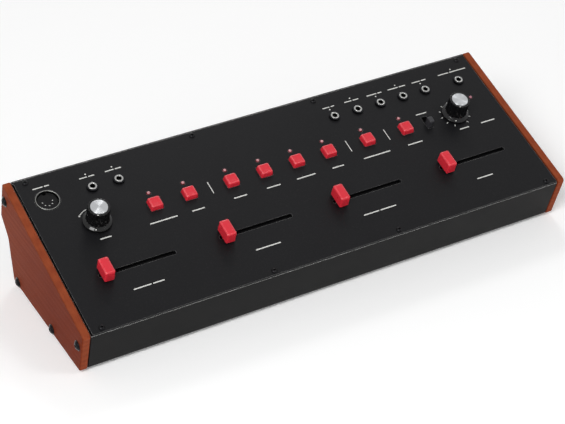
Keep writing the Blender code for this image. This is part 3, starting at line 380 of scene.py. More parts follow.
def new_copier(name, inputs):
    """A new tree of nodes that copies a solid, with its inputs and outputs."""
    shared = [("Geometry", "Geometry"), ("Solid", "Object"), ("Finish", "Material")]
    return new_group(name, "GeometryNodeTree", shared + inputs, shared[:1])


def copied(tree, given, points, turn):
    """A copy of the solid on each point, turned as asked."""
    solid = add(tree, "GeometryNodeObjectInfo", {"Object": given["Solid"]})["Geometry"]
    inputs = {"Points": points, "Instance": solid, "Rotation": turn}
    return add(tree, "GeometryNodeInstanceOnPoints", inputs)["Instances"]


def hand_out(tree, given, copies, result):
    """Make the copies real, give them their finish and hand them out of their tree."""
    real = add(tree, "GeometryNodeRealizeInstances", {"Geometry": copies})["Geometry"]
    inputs = {"Geometry": real, "Material": given["Finish"]}
    fill(tree, result, {"Geometry": add(tree, "GeometryNodeSetMaterial", inputs)["Geometry"]})
    return tree


def build_setter():
    """Set a copy of a solid on each point, turned as asked and spun at random about its own axis."""
    tree, given, result = new_copier(
        "set_on_points", [("Turn", "Vector"), ("Spin", "Float", 0.0), ("Seed", "Int", 0)])
    copies = copied(tree, given, given["Geometry"], given["Turn"])
    chance = add(tree, "FunctionNodeRandomValue", {"Seed": given["Seed"], 3: given["Spin"]})[1]
    about = add(tree, "ShaderNodeCombineXYZ", {"Z": chance})["Vector"]
    spun = add(tree, "GeometryNodeRotateInstances", {"Instances": copies, "Rotation": about})
    return hand_out(tree, given, spun["Instances"], result)


def grown(start, tree, solid, values):
    """Run a tree of nodes on a mesh of points, with a solid to copy and named inputs."""
    pattern = put("pattern", solid)
    holder = put("grown", start)
    grower = holder.modifiers.new("grower", "NODES")
    grower.node_group = tree
    values = {"Solid": pattern, **values}
    for item in tree.interface.items_tree:
        if item.in_out == "INPUT" and item.name in values:
            grower[item.identifier] = values[item.name]
    return applied(holder, pattern)


def set_copies(solid, places, material, turn=(0, 0, 0), spin=0.0, seed=0):
    """Copies of one solid at many places, as one mesh."""
    points = bpy.data.meshes.new("points")
    points.from_pydata([tuple(place) for place in places], [], [])
    values = {"Turn": turn, "Spin": spin, "Seed": seed, "Finish": material}
    return grown(points, SETTER, solid, values)


def skinned(rings, closed_round):
    """A closed mesh from rings of points, each joined to the next; a ring of no width is one point."""
    form = bmesh.new()
    count = len(rings[0])
    rows = []
    for ring in rings:
        if ring[0] == ring[1]:
            rows.append([form.verts.new(ring[0])] * count)
        else:
            rows.append([form.verts.new(point) for point in ring])
    for first, second in zip(rows, rows[1:] + rows[:closed_round]):
        for k in range(count):
            loop = (first[k], first[(k + 1) % count], second[(k + 1) % count], second[k])
            corners = list(dict.fromkeys(loop))
            if len(corners) > 2:
                form.faces.new(corners)
    if not closed_round:
        form.faces.new(rows[0][::-1])
        form.faces.new(rows[-1])
    bmesh.ops.recalc_face_normals(form, faces=form.faces)
    return finished(form)


def turned(corners, radii, steps=48, arc=4):
    """A turned solid from a closed half profile of radius and height, its corners rounded."""
    angles = [2 * math.pi * k / steps for k in range(steps)]
    rings = []
    for point in rounded(corners, radii, arc):
        radius = point.x if point.x >= 1e-7 else 0
        rings.append([(radius * math.cos(a), radius * math.sin(a), point.y) for a in angles])
    return skinned(rings, True)


def carve(mesh, tools):
    """Cut tool meshes from a mesh, one after another."""
    holder = put("carved", mesh)
    held = [put("carving_tool", tool) for tool in tools]
    for tool in held:
        cut = holder.modifiers.new("cut", "BOOLEAN")
        cut.operation = "DIFFERENCE"
        cut.object = tool
    return applied(holder, *held)


def screw_head(radius, height, socket, flange=(0.0, 0.0)):
    """A button head with a hexagon socket sunk into it, on a flange where one is asked for."""
    flange_radius, flange_height = flange
    crown = [(0, height), (radius * 0.62, height * 0.93), (radius, height * 0.2 + flange_height)]
    roundings = [0, radius * 0.7, radius * 0.12]
    if flange_radius:
        foot = [(radius, flange_height), (flange_radius, flange_height), (flange_radius, 0)]
        roundings += [flange_height * 0.3, flange_height * 0.5, 0]
    else:
        foot = [(radius, 0)]
        roundings += [radius * 0.03]
    head = turned([*crown, *foot, (0, 0)], (*roundings, 0), 40, 6)
    return carve(head, [plate([circle(0, 0, socket, 6)], height * 0.3, height * 2)])


SETTER = build_setter()
BLACK_STEEL = build_plain("blackened_steel", "131315", (0.14, 0.24), {"Metallic": 0.8},
                          grain=(3000.0, 0.000012), mottle=300.0)
corners = inset(case_edges, [SCREW_INSET] * 6)
rise = SCREW_RISE * Vector((-math.sin(CASE_LEAN), math.cos(CASE_LEAN)))
cheek_screws = [Vector((REAR_FOOT - distance, LOW_SCREW_ROW)) for distance in LOW_SCREWS]
cheek_screws += [corners[3] + rise, corners[0] + rise]

for cheek, side in (("left_cheek", -1), ("right_cheek", 1)):
    low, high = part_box(cheek)
    face = high.x if side > 0 else low.x
    places = [SIDE_VIEW @ Vector((p.x, p.y, face)) for p in cheek_screws]
    head = screw_head(0.0031, 0.0018, 0.0013, (0.0037, 0.0004))
    screws = set_copies(head, places, BLACK_STEEL, (0, side * math.pi / 2, 0), 2 * math.pi, 3 + side)
    dress(cheek + "_screws", screws, Matrix(), BLACK_STEEL)


# STEEL TRAY
# The case is one folded tray of 1.2 mm sheet steel, powder-coated black. It is open at the top
# inside narrow lips that carry the panel, and its rear wall is cut out for the sockets.

SHEET = 0.0012
PANEL_WIDTH = 0.3556
PANEL_LENGTH = 0.1285
PANEL_SHEET = 0.0016
CASE_GAP = 0.0003
TRAY_ROUNDINGS = [SHEET] * 4 + [SHEET / 2, 0.0004, 0.0004, 0.0002]
MOUTH_LENGTH = 0.1105
FIVE_PIN_HOLE = 0.0085


def build_paint(name, code, gloss, grain, dust, wear, shine):
    # Painted highlight: the upward-facing edges are painted pale grey.
    return build_plain(name, code, gloss, {"Specular_IOR_Level": shine}, grain=grain, mottle=35.0,
                       dust=dust, edge=tone("c6c6c4"), wear=wear)


def rectangle(x, y, width, height, radius, steps=6):
    corners = [(x - width / 2, y - height / 2), (x + width / 2, y - height / 2),
               (x + width / 2, y + height / 2), (x - width / 2, y + height / 2)]
    return rounded(corners, [radius] * 4, steps)


def middle_of(name):
    low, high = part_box(name)
    return (low + high) / 2


def rear_place(name):
    """Where a solid stands in the rear wall, seen from behind."""
    middle = middle_of(name)
    return REAR_PLACE @ Matrix.Translation((-middle.x, middle.z - cheek_low.z, 0))


# The tray's coat takes a strong painted highlight on its edges: the bright line along the front bend.
POWDER_COAT = build_paint("powder_coat", "0e0e0e", (0.32, 0.42), (1500.0, 0.00003), 0.04, 3.5, 0.08)
panel_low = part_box("front_panel")[0]
panel_origin = Vector((panel_low.x, panel_low.y, panel_low.z + PANEL_SHEET * math.cos(PANEL_TILT)))
PANEL_PLACE = Matrix.Translation(panel_origin) @ Matrix.Rotation(PANEL_TILT, 4, "X")
tray_low, tray_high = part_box("chassis_tray")
rear_wall = REAR_FOOT - SHEET + case_shift.x
REAR_PLACE = Matrix.Translation((0, rear_wall, cheek_low.z)) @ Matrix.Rotation(math.pi, 4, "Z")
REAR_PLACE = REAR_PLACE @ Matrix.Rotation(math.pi / 2, 4, "X")

tray_edges = [case_edges[0], (Vector((REAR_FOOT - SHEET, 0)), math.pi / 2), *case_edges[2:]]
tray_insets = [0.0005, 0, CASE_GAP, CASE_GAP, CASE_GAP + PANEL_SHEET, CASE_GAP]
tray_corners = inset(tray_edges, tray_insets)
rim = []
for behind, above in ((0, 0), (SHEET, 0), (SHEET, PANEL_SHEET)):
    distances = [*tray_insets[:3], CASE_GAP + behind, CASE_GAP + above, CASE_GAP]
    rim.append(inset(tray_edges, distances)[4])
tray_corners[4:5] = rim
shell = plate([rounded(tray_corners, TRAY_ROUNDINGS, 8)], tray_low.x, tray_high.x, 0.0003, 2)
inside = rounded(inset(tray_edges, [d + SHEET for d in tray_insets]), [0.0002] * 6, 2)
hollow = plate([inside], tray_low.x + SHEET, tray_high.x - SHEET)
mouth_width = tray_high.x - tray_low.x - 2 * SHEET
mouth = plate([rectangle(PANEL_WIDTH / 2, PANEL_LENGTH / 2, mouth_width, MOUTH_LENGTH, SHEET)],
              -0.0045, 0.0005)
for mesh, place in ((shell, SIDE_VIEW), (hollow, SIDE_VIEW), (mouth, PANEL_PLACE)):
    mesh.transform(place)
round_holes = {"five_pin_thru_shield": FIVE_PIN_HOLE, "output_jack_1": 0.0051, "output_jack_2": 0.0051}
square_holes = {"dc_inlet": (0.0098, 0.0124), "data_socket": (0.0128, 0.0116),
                "power_switch_housing": (0.0136, 0.0196)}
wall_holes = [(name, circle(0, 0, radius)) for name, radius in round_holes.items()]
wall_holes += [(name, rectangle(0, 0, *size, 0.0003)) for name, size in square_holes.items()]
tools = [hollow, mouth]
for name, outline in wall_holes:
    tools.append(plate([outline], -0.003, 0.003))
    tools[-1].transform(rear_place(name))
dress("chassis_shell", carve(shell, tools), Matrix(), POWDER_COAT, ("chassis_tray",),
      angle=30)


# RUBBER FEET
# Four round feet moulded in black rubber, slightly tapered and hollowed underneath. They are
# stuck to the tray's floor near its corners and carry the case.

RUBBER = build_plain("foot_rubber", "1b1b1b", (0.78, 0.92), {}, grain=(1200.0, 0.00006), mottle=120.0,
                     dust=0.2)
foot_profile = [(0, 0.003), (0.0065, 0.003), (0.0057, 0), (0.0036, 0), (0.003, 0.0006), (0, 0.0006)]
for number in range(1, 5):
    middle = middle_of(f"rubber_foot_{number}")
    foot = turned(foot_profile, (0, 0.0003, 0.0006, 0.0003, 0.0002, 0))
    dress(f"foot_{number}", foot, Matrix.Translation((middle.x, middle.y, 0)), RUBBER,
          (f"rubber_foot_{number}",))


# CIRCUIT BOARDS AND RIBBON
# Two glass-fibre boards with green solder mask: one hangs under the panel with its key switches and
# spacers, the other lies on the tray's floor behind. A grey flat cable joins their headers.

CONTROL_ROW = 0.0798
BOARD_MIDDLE = 0.0665
HEADER_ROW = 0.06


def keep(name, material):
    """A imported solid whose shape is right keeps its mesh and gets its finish."""
    solid = nodes[name]
    solid.data.materials.clear()
    solid.data.materials.append(material)


def joined(meshes):
    """Several meshes as one, each still its own shell."""
    form = bmesh.new()
    for mesh in meshes:
        form.from_mesh(mesh)
    return finished(form)


def panel_x(name):
    low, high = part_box(name)
    return (low.x + high.x) / 2 - panel_origin.x


def build_board():
    """Green solder mask over paler tracks."""
    board, tree = new_finish("solder_mask", tone("1f5a35"), 0.4)
    tracks = add(tree, "ShaderNodeTexBrick", {
        "Vector": object_place(tree), "Scale": 90, "Mortar Size": 0.03, "Color1": tone("1f5a35"),
        "Color2": tone("236640"), "Mortar": tone("2f7a4d")})["Color"]
    add_patina(tree, tracks, (0.32, 0.45), (500.0, 0.00003), 90.0)
    return board


BOARD = build_board()
keep("main_board", BOARD)
RIBBON, ribbon_tree = new_finish("ribbon_sheath", tone("9a9a9c"), 0.55)
strands = add(ribbon_tree, "ShaderNodeTexWave", {"Vector": object_place(ribbon_tree), "Scale": 250},
              bands_direction="X")["Fac"]
feed(ribbon_tree, Normal=bumps(ribbon_tree, strands, 0.0003))
keep("ribbon_cable", RIBBON)

button_places = [panel_x(f"button_cap_{k}") for k in range(1, 9)]
board = plate([rectangle(PANEL_WIDTH / 2, BOARD_MIDDLE, 0.3436, 0.103, 0.0005)], -0.0126, -0.011)
switch = plate([rectangle(0, 0, 0.012, 0.012, 0.0006)], -0.0114, -0.0071, 0.0002)
switches = set_copies(switch, [(x, CONTROL_ROW, 0) for x in button_places], BOARD)
post = turned([(0, -0.0019), (0.0028, -0.0019), (0.0028, -0.0114), (0, -0.0114)], (0, 0.0003, 0, 0), 24)
posts = set_copies(post, [(0.024 + 0.10253 * k, HEADER_ROW, 0) for k in range(4)], BOARD)
header = plate([rectangle(PANEL_WIDTH / 2, HEADER_ROW, 0.026, 0.0055, 0.0004)], -0.0171, -0.0126)
dress("panel_board_assembly", joined([board, switches, posts, header]), PANEL_PLACE,
      BOARD, ("panel_board",))


# FRONT PANEL
# One 1.6 mm plate of aluminium painted satin black, with every hole and slot punched in it and
# its edges broken. It lies on the tray's lips and is held by eight small screws.

LED_ROW = 0.09
JACK_ROW = 0.1072
SLIDER_ROW = 0.0397
KNOBS = {"tune": 0.0386, "rate": 0.3183}
POWER_LED = 0.3385
FIVE_PIN_SIDE = 0.0156

jack_places = [panel_x(f"patch_jack_{k}") for k in range(1, 9)]
slider_places = [panel_x(f"slider_body_{k}") for k in range(1, 5)]
mode_x = panel_x("mode_switch_body")
panel_screws = [(x, y, 0) for x in (0.0075, 0.1298, 0.2258, 0.3481) for y in (0.003, 0.1255)]
outlines = [rectangle(PANEL_WIDTH / 2, PANEL_LENGTH / 2, PANEL_WIDTH, PANEL_LENGTH, 0.0004)]
outlines.append(circle(FIVE_PIN_SIDE, JACK_ROW, FIVE_PIN_HOLE, 64))
outlines += [circle(x, JACK_ROW, 0.0033) for x in jack_places]
outlines += [rectangle(x, CONTROL_ROW, 0.0096, 0.0096, 0.0009) for x in button_places]
outlines += [circle(x, LED_ROW, 0.0017, 32) for x in (*button_places, POWER_LED)]
outlines += [circle(x, CONTROL_ROW, 0.0038) for x in KNOBS.values()]
outlines += [rectangle(x, SLIDER_ROW, 0.0546, 0.0031, 0.0014, 8) for x in slider_places]
outlines.append(rectangle(mode_x, CONTROL_ROW, 0.0046, 0.0109, 0.0003))
outlines += [circle(x, y, 0.0015, 24) for x, y, _ in panel_screws]
# The panel's paint takes a faint painted highlight on its upper edges.
PANEL_PAINT = build_paint("satin_black_paint", "111113", (0.36, 0.46), (1700.0, 0.00002), 0.03, 0.5,
                          0.12)
dress("panel_plate", plate(outlines, -PANEL_SHEET, 0, 0.0002, 2), PANEL_PLACE, PANEL_PAINT,
      ("front_panel",), angle=30)


# PANEL PRINT
# White ink, screen-printed on the paint: plain bars under and over the controls, dots by the
# jacks, dividers between the groups of buttons, a scale of strokes and a pair of turning arrows.

INK_LOW = 0.000005
INK_HIGH = 0.00003
ARROW_RADIUS = 0.0121
LABEL_ROWS = {"jacks": 0.1166, "five_pin": 0.1188, "mode": 0.0885, "controls": 0.066, "sliders": 0.0222}


def build_dial():
    """Strokes round a dial: a count of copies of one stroke, stepped round a radius."""
    tree, given, result = new_copier("strokes_round_a_dial", [
        ("Count", "Int", 11), ("Radius", "Float", 0.01), ("Start", "Float", 0.0), ("Step", "Float", 0.5)])
    line = add(tree, "GeometryNodeMeshLine", {"Count": given["Count"]})["Mesh"]
    index = add(tree, "GeometryNodeInputIndex", {})["Index"]
    angle = add(tree, "ShaderNodeMath", {0: index, 1: given["Step"], 2: given["Start"]},
                operation="MULTIPLY_ADD")["Value"]
    reach = add(tree, "ShaderNodeCombineXYZ", {"X": given["Radius"]})["Vector"]
    place = add(tree, "ShaderNodeVectorRotate", {"Vector": reach, "Angle": angle},
                rotation_type="Z_AXIS")["Vector"]
    spread = add(tree, "GeometryNodeSetPosition", {"Geometry": line, "Position": place})["Geometry"]
    turn = add(tree, "ShaderNodeCombineXYZ", {"Z": angle})["Vector"]
    return hand_out(tree, given, copied(tree, given, spread, turn), result)


def arc_band(x, y, radius, width, start, end, steps=10):
    """The outline of a printed arc between two angles in degrees."""
    angles = [math.radians(start + (end - start) * k / steps) for k in range(steps + 1)]
    band = []
    for reach, way in ((radius + width / 2, angles), (radius - width / 2, angles[::-1])):
        band += [Vector((x + reach * math.cos(a), y + reach * math.sin(a))) for a in way]
    return band


def arrowhead(x, y, radius, angle, way, size):
    """A printed triangle on an arc, pointing one way round."""
    a = math.radians(angle)
    outwards = Vector((math.cos(a), math.sin(a)))
    middle = Vector((x, y)) + radius * outwards
    along = Vector((-math.sin(a), math.cos(a))) * way
    return [middle + along * size, middle - outwards * size * 0.6, middle + outwards * size * 0.6]


DIAL = build_dial()
INK = build_plain("white_ink", "cfcfcb", (0.45, 0.6), {}, grain=(2500.0, 0.00001), mottle=200.0)
# The widths of the bars that stand for words, in millimetres, with 1 mm between two of them.
jack_labels = ((5.5, 4.3), (6.2, 4.4), (5.7, 2.8), (5.9, 4.6), (8.2, 3.3), (8.6, 5.4), (7, 4), (9, 14))
button_labels = ((20,), (9.3,), (9.7,), (10.5,), (14.6,), (9.4,), (21.5,), (12,))
slider_labels = ((12.6, 8), (18.5,), (12.2, 12.5), (13,))
labels = [(x, "jacks", 0.0008, words) for x, words in zip(jack_places, jack_labels)]
labels += [(x, "controls", 0.0009, words) for x, words in zip(button_places, button_labels)]
labels += [(x, "sliders", 0.0009, words) for x, words in zip(slider_places, slider_labels)]
labels += [(FIVE_PIN_SIDE, "five_pin", 0.0008, (7.2, 3.4)), (KNOBS["tune"], "controls", 0.0009, (8,)),
           (KNOBS["rate"], "controls", 0.0009, (7.7,)), (POWER_LED, "controls", 0.0009, (11.6,)),
           (mode_x, "mode", 0.0008, (8.7,))]
printed = []
for x, row, height, words in labels:
    left = x - (sum(words) + len(words) - 1) / 2000
    for width in words:
        bar = rectangle(left + width / 2000, LABEL_ROWS[row], width / 1000, height, height * 0.3, 3)
        printed.append(bar)
        left += (width + 1) / 1000
printed += [rectangle(x, CONTROL_ROW, 0.0006, 0.01, 0.0001, 2) for x in (0.1214, 0.2294, 0.2608)]
for numbers, row in (((0, 1, 3, 5, 7), 0.119), ((2, 4, 6), 0.1142)):
    printed += [circle(jack_places[k], row, 0.00055, 20) for k in numbers]
tune_x = KNOBS["tune"]
for start, end, tip, way in ((103, 135, 136, 1), (77, 45, 44, -1)):
    printed.append(arc_band(tune_x, CONTROL_ROW, ARROW_RADIUS, 0.0005, start, end))
    printed.append(arrowhead(tune_x, CONTROL_ROW, ARROW_RADIUS, tip, way, 0.0013))
bars = plate(printed, INK_LOW, INK_HIGH)
stroke = plate([rectangle(0, 0, 0.0015, 0.0006, 0.0001, 2)], INK_LOW, INK_HIGH)
scale = grown(bpy.data.meshes.new("scale"), DIAL, stroke, {
    "Count": 11, "Radius": 0.0108, "Start": math.radians(240), "Step": math.radians(-30), "Finish": INK})
scale.transform(Matrix.Translation((KNOBS["rate"], CONTROL_ROW, 0)))
dress("panel_print", joined([bars, scale]), PANEL_PLACE, INK)


# PANEL SCREWS
# Eight small screws of blackened steel, with button heads and hexagon sockets, hold the panel to
# the tray's lips along its front and back edges. They are turned at random, like the cheeks' screws.

head = screw_head(0.0021, 0.0013, 0.0009)
screws = set_copies(head, panel_screws, BLACK_STEEL, (0, 0, 0), 2 * math.pi, 8)
dress("panel_screws", screws, PANEL_PLACE, BLACK_STEEL)


# FIVE-PIN SOCKETS
# A moulded black insert with five pin holes on a half circle and a keyway, inside a bright turned
# ring. One faces up in the panel's rear left corner and one looks out of the rear wall.

def on_panel(x, row):
    """A place on the panel's face."""
    return PANEL_PLACE @ Matrix.Translation((x, row, 0))


def build_metal(name, code, gloss):
    return build_plain(name, code, gloss, {"Metallic": 1}, grain=(2500.0, 0.000008), mottle=250.0)


def build_plastic(name, code, gloss, grain=(1400.0, 0.000025), dust=0.03, shine=0.3):
    # Its upward-facing edges are drawn a paler grey.
    return build_plain(name, code, gloss, {"Specular_IOR_Level": shine}, grain=grain, mottle=90.0,
                       dust=dust, edge=tone("4c4c4c"), wear=0.5)


PIN_CIRCLE = 0.0035
INSERT_RADIUS = 0.0067
pin_angles = [math.pi + k * math.pi / 4 for k in range(5)]
pin_places = [(PIN_CIRCLE * math.cos(a), PIN_CIRCLE * math.sin(a), 0) for a in pin_angles]


def five_pin_insert(depth):
    """The insert's face with its holes, on a deeper block."""
    holes = [circle(x, y, 0.00075, 24) for x, y, _ in pin_places]
    rim = []
    for k in range(97):
        angle = math.pi / 2 + math.radians(10) + math.radians(340) * k / 96
        rim.append(Vector((INSERT_RADIUS * math.cos(angle), INSERT_RADIUS * math.sin(angle))))
    rim += [Vector((0.0011, 0.0051)), Vector((-0.0011, 0.0051))]
    square = rectangle(0, 0, 0.0194, 0.0194, 0.0008)
    face = plate([rim, *holes], -0.0048, -0.0008, 0.0002)
    block = plate([square], -depth, -0.0047)
    wall = plate([square, circle(0, 0, FIVE_PIN_HOLE)], -0.0048, -0.0022)
    return joined([face, block, wall])


BRIGHT = build_metal("bright_plate", "a4a4a2", (0.12, 0.22))
SHIELD = build_metal("shield_plate", "7a7a78", (0.25, 0.35))
MOULDED = build_plastic("moulded_black", "101011", (0.4, 0.52), shine=0.1)
for name, place, depth in (("five_pin_in", on_panel(FIVE_PIN_SIDE, JACK_ROW), 0.0107),
                           ("five_pin_thru", rear_place("five_pin_thru_shield"), 0.0125)):
    dress(name + "_insert", five_pin_insert(depth), place, MOULDED, (name + "_socket",))
    contact = turned([(0.00055, -0.0012), (0.00055, -0.0046), (0, -0.0046), (0, -0.0015)],
                     (0.0001, 0, 0, 0), 16, 2)
    contacts = set_copies(contact, pin_places, BRIGHT)
    dress(name + "_contacts", contacts, place, BRIGHT)
    low = 0.0021 - depth
    ring = turned([(0.0082, 0.0006), (0.0082, low), (0.0075, low), (0.0075, 0.0006)],
                  (0.0003, 0, 0, 0.0003), 72, 6)
    dress(name + "_ring", ring, place, SHIELD, (name + "_shield",))


# PATCH JACKS
# Eight threaded jack sockets for 3.5 mm plugs, each a plated bushing in a black body, held by a
# low round nut with a fine knurl. The nodes set the bushings, the nuts and the bodies in a row.

def knurled_nut(radius, bore, height, teeth):
    outline = []
    for k in range(teeth * 4):
        angle = 2 * math.pi * k / (teeth * 4)
        reach = radius - (0.00012 if k % 4 in (0, 1) else 0)
        outline.append(Vector((reach * math.cos(angle), reach * math.sin(angle))))
    return plate([outline, circle(0, 0, bore)], 0.00002, height, 0.00012, 2)


BLACK_NICKEL = build_metal("black_nickel_nut", "232326", (0.25, 0.38))
bushing = turned([(0.003, 0.0018), (0.003, -0.0025), (0.0018, -0.0025), (0.0018, 0.0018)],
                 (0.00025, 0, 0, 0.0003), 40, 3)
sleeve = turned([(0.0018, -0.0024), (0.0022, -0.0024), (0.0022, -0.0095), (0, -0.0095), (0, -0.0092),
                 (0.0018, -0.0092)], [0] * 6, 32)
body = plate([rectangle(0, 0, 0.009, 0.0105, 0.0006), circle(0, 0, 0.0022)], -0.0107, -0.0019)
nut = knurled_nut(0.004, 0.003, 0.0013, 36)
places = [(x, JACK_ROW, 0) for x in jack_places]
jacks = [f"patch_jack_{k}" for k in range(1, 9)]
for name, solid, material, replaced, spin in (
        ("bushings", bushing, BRIGHT, (), (0.0, 0)),
        ("bodies", joined([body, sleeve]), MOULDED, jacks, (0.0, 0)),
        ("nuts", nut, BLACK_NICKEL, (), (0.6, 5))):
    copies = set_copies(solid, places, material, (0, 0, 0), *spin)
    dress("jack_" + name, copies, PANEL_PLACE, material, replaced)


# PUSH BUTTONS
# Eight square keycaps moulded in bright red plastic, with drafted sides, softly rounded edges and
# a slightly dished top. Each moves by itself on the stem of its switch.

BUTTON_SIDE = 0.009
BUTTON_ROWS = [(0, -0.0028, 0.0008), (0, 0, 0.0009), (0.0003, 0.0026, 0.001), (0.00042, 0.003, 0.001),
               (0.00065, 0.0034, 0.00095), (0.00095, 0.00365, 0.0009), (0.0013, 0.00378, 0.0008),
               (0.0017, 0.0038, 0.0007), (0.0022, 0.00377, 0.0005), (0.0029, 0.0037, 0.0003),
               (0.0036, 0.00365, 0.0002)]


def lofted_cap(width, depth, rows):
    """A moulded cap from rows of inset, height and corner radius, bottom row first."""
    rings = []
    for inwards, height, radius in rows:
        outline = rectangle(0, 0, width - 2 * inwards, depth - 2 * inwards, radius, 6)
        rings.append([(p.x, p.y, height) for p in outline])
    return skinned(rings, False)


# Painted highlight: the upper edges of the caps are painted pale pink.
RED = build_plain("red_plastic", "d42b39", (0.26, 0.36),
                  {"Specular_IOR_Level": 0.25, "Coat_Weight": 0.12, "Coat_Roughness": 0.15},
                  grain=(1500.0, 0.00002), mottle=120.0, dust=0.03, edge=tone("f28c90"), wear=3.5,
                  edge_size=0.0008)
for number, x in enumerate(button_places, 1):
    dress(f"button_{number}_cap", lofted_cap(BUTTON_SIDE, BUTTON_SIDE, BUTTON_ROWS),
          on_panel(x, CONTROL_ROW), RED, (f"button_cap_{number}",), f"button_{number}", 50)


# INDICATOR LAMPS
# Round lamps on the board, one behind each button and one by the right-hand knob. Each has a domed
# 3 mm lens of frosted red plastic with a painted highlight on top, that just stands out of its hole in the
# panel.

def build_lens(name, middle, rim):
    """Frosted red plastic, deep red down the dome's sides, with a painted highlight that pales the top of
    the dome.
    """
    lens, tree = new_finish(name, middle, 0.2)
    facing = add(tree, "ShaderNodeNewGeometry", {})["Normal"]
    outwards = (0, -math.sin(PANEL_TILT), math.cos(PANEL_TILT))
    steepness = add(tree, "ShaderNodeVectorMath", {0: facing, 1: outwards}, operation="DOT_PRODUCT")
    # Painted highlight: the top of the dome is painted pale.
    dome_with_painted_highlight = blended(tree, ranged(tree, steepness["Value"], (0.97, 0.55)), middle, rim)
    add_patina(tree, dome_with_painted_highlight, (0.2, 0.3), (2500.0, 0.00001), 300.0)
    return lens


LENS = build_lens("frosted_lens", tone("c98e93"), tone("6e1420"))
POWER_LENS = build_lens("power_lens", tone("ad6a78"), tone("4a0c18"))
dome = [(0, 0.0009), (0.0015, 0.0009), (0.0015, -0.0034), (0.0019, -0.0034), (0.0019, -0.0107),
        (0, -0.0107)]
for name, xs, material in (("button_lamps", button_places, LENS), ("power_lamp", [POWER_LED], POWER_LENS)):
    lamp = turned(dome, (0, 0.00135, 0, 0, 0, 0), 32, 8)
    lamps = set_copies(lamp, [(x, LED_ROW, 0) for x in xs], material)
    dress(name, lamps, PANEL_PLACE, material)


# ROTARY CONTROLS
# A nickel-plated potentiometer stands under the panel at each end, with its nut and shaft. The
# knob is a glossy black moulding with fine ribs and a skirt, and a turned aluminium disc in its top.

KNOB_ROWS = [(0.0031, 0.0012, 0), (0.0064, 0.0012, 0), (0.0066, 0.0008, 0), (0.0096, 0.0008, 0),
             (0.0098, 0.001, 0), (0.0098, 0.0018, 0), (0.00974, 0.0021, 0), (0.0095, 0.0024, 0),
             (0.0082, 0.0031, 0), (0.0079, 0.0034, 0), (0.00778, 0.0038, 0.0002),
             (0.00776, 0.0042, 0.0005), (0.0075, 0.0146, 0.0004), (0.00743, 0.0152, 0.0003),
             (0.00728, 0.0155, 0.00015), (0.0071, 0.0156, 0), (0.0063, 0.0156, 0),
             (0.0061, 0.0154, 0), (0.0061, 0.0147, 0), (0.0001, 0.0147, 0)]
RIBS = 20
STEPS_PER_RIB = 8
POINTER = math.radians(240)
DISC_RADIUS = 0.0058


def ribbed_knob():
    """The knob's outer skin and underside: rows of radius, height and how deep the flutes are."""
    rings = []
    for radius, height, depth in KNOB_ROWS:
        ring = []
        for k in range(RIBS * STEPS_PER_RIB):
            phase = (k % STEPS_PER_RIB) / STEPS_PER_RIB
            reach = radius - depth * (1 - (2 * phase - 1) ** 2)
            angle = 2 * math.pi * k / (RIBS * STEPS_PER_RIB)
            ring.append((reach * math.cos(angle), reach * math.sin(angle), height))
        rings.append(ring)
    return skinned(rings, False)


def build_turned_face():
    """Bright aluminium whose fine lathe rings run round the disc and draw its light to a bow."""
    metal, tree = new_finish("turned_aluminium", tone("b9bbbd"), 0.3, Metallic=1, Anisotropic=0.96,
                             Anisotropic_Rotation=0.25)
    turning = add(tree, "ShaderNodeUVMap", {}, uv_map="turning")["UV"]
    inputs = {"W": part(tree, turning, "Y"), "Scale": 40, "Detail": 3}
    rings = add(tree, "ShaderNodeTexNoise", inputs, noise_dimensions="1D")["Fac"]
    around = add(tree, "ShaderNodeTangent", {}, direction_type="UV_MAP", uv_map="turning")["Tangent"]
    feed(tree, Normal=bumps(tree, rings, 0.00002), Roughness=ranged(tree, rings, (0, 1), (0.25, 0.4)),
         Tangent=around)
    return metal


def map_turning(mesh, reach):
    """A UV map of the turn round the axis and the distance from it, face by face."""
    layer = mesh.uv_layers.new(name="turning")
    for face in mesh.polygons:
        middle = math.atan2(face.center.y, face.center.x)
        for loop in face.loop_indices:
            point = mesh.vertices[mesh.loops[loop].vertex_index].co
            radius = math.hypot(point.x, point.y)
            swing = math.remainder(math.atan2(point.y, point.x) - middle, 2 * math.pi)
            turn = middle + (swing if radius > 1e-6 else 0)
            layer.data[loop].uv = (turn / math.pi, radius / reach)


KNOB_BLACK = build_plastic("glossy_black", "0e0e0f", (0.06, 0.12), (900.0, 0.000004), 0.02)
TURNED = build_turned_face()
NICKEL = build_metal("nickel_plate", "b5b3ad", (0.28, 0.42))
for name, x in KNOBS.items():
    place = on_panel(x, CONTROL_ROW)
    control = name + "_control"
    dress(name + "_knob_body", ribbed_knob(), place, KNOB_BLACK, (name + "_knob",),
          control, 45)
    disc = turned([(0, 0.016), (DISC_RADIUS, 0.016), (DISC_RADIUS, 0.0151), (0, 0.0151)],
                  (0, 0.0003, 0, 0), 96, 4)
    map_turning(disc, DISC_RADIUS)
    dress(name + "_disc", disc, place, TURNED, (name + "_knob_disc",), control)
    rim_mark = plate([circle(0.0068, 0, 0.00045, 20)], 0.01555, 0.01563)
    skirt_dot = plate([circle(0, 0, 0.00045, 20)], -0.0001, 0.00004)
    skirt_dot.transform(Matrix.Translation((0.0088, 0, 0.00278)) @ Matrix.Rotation(0.49, 4, "Y"))
    dress(name + "_pointer", joined([rim_mark, skirt_dot]),
          place @ Matrix.Rotation(POINTER, 4, "Z"), INK, (), control)
    keep(name + "_pot", NICKEL)
    keep(name + "_shaft", NICKEL)


# SLIDE CONTROLS
# Four long slide potentiometers hang under the panel. A flat steel lever stands out of each slot
# and carries a tall red cap with rounded edges and a shallow crown.

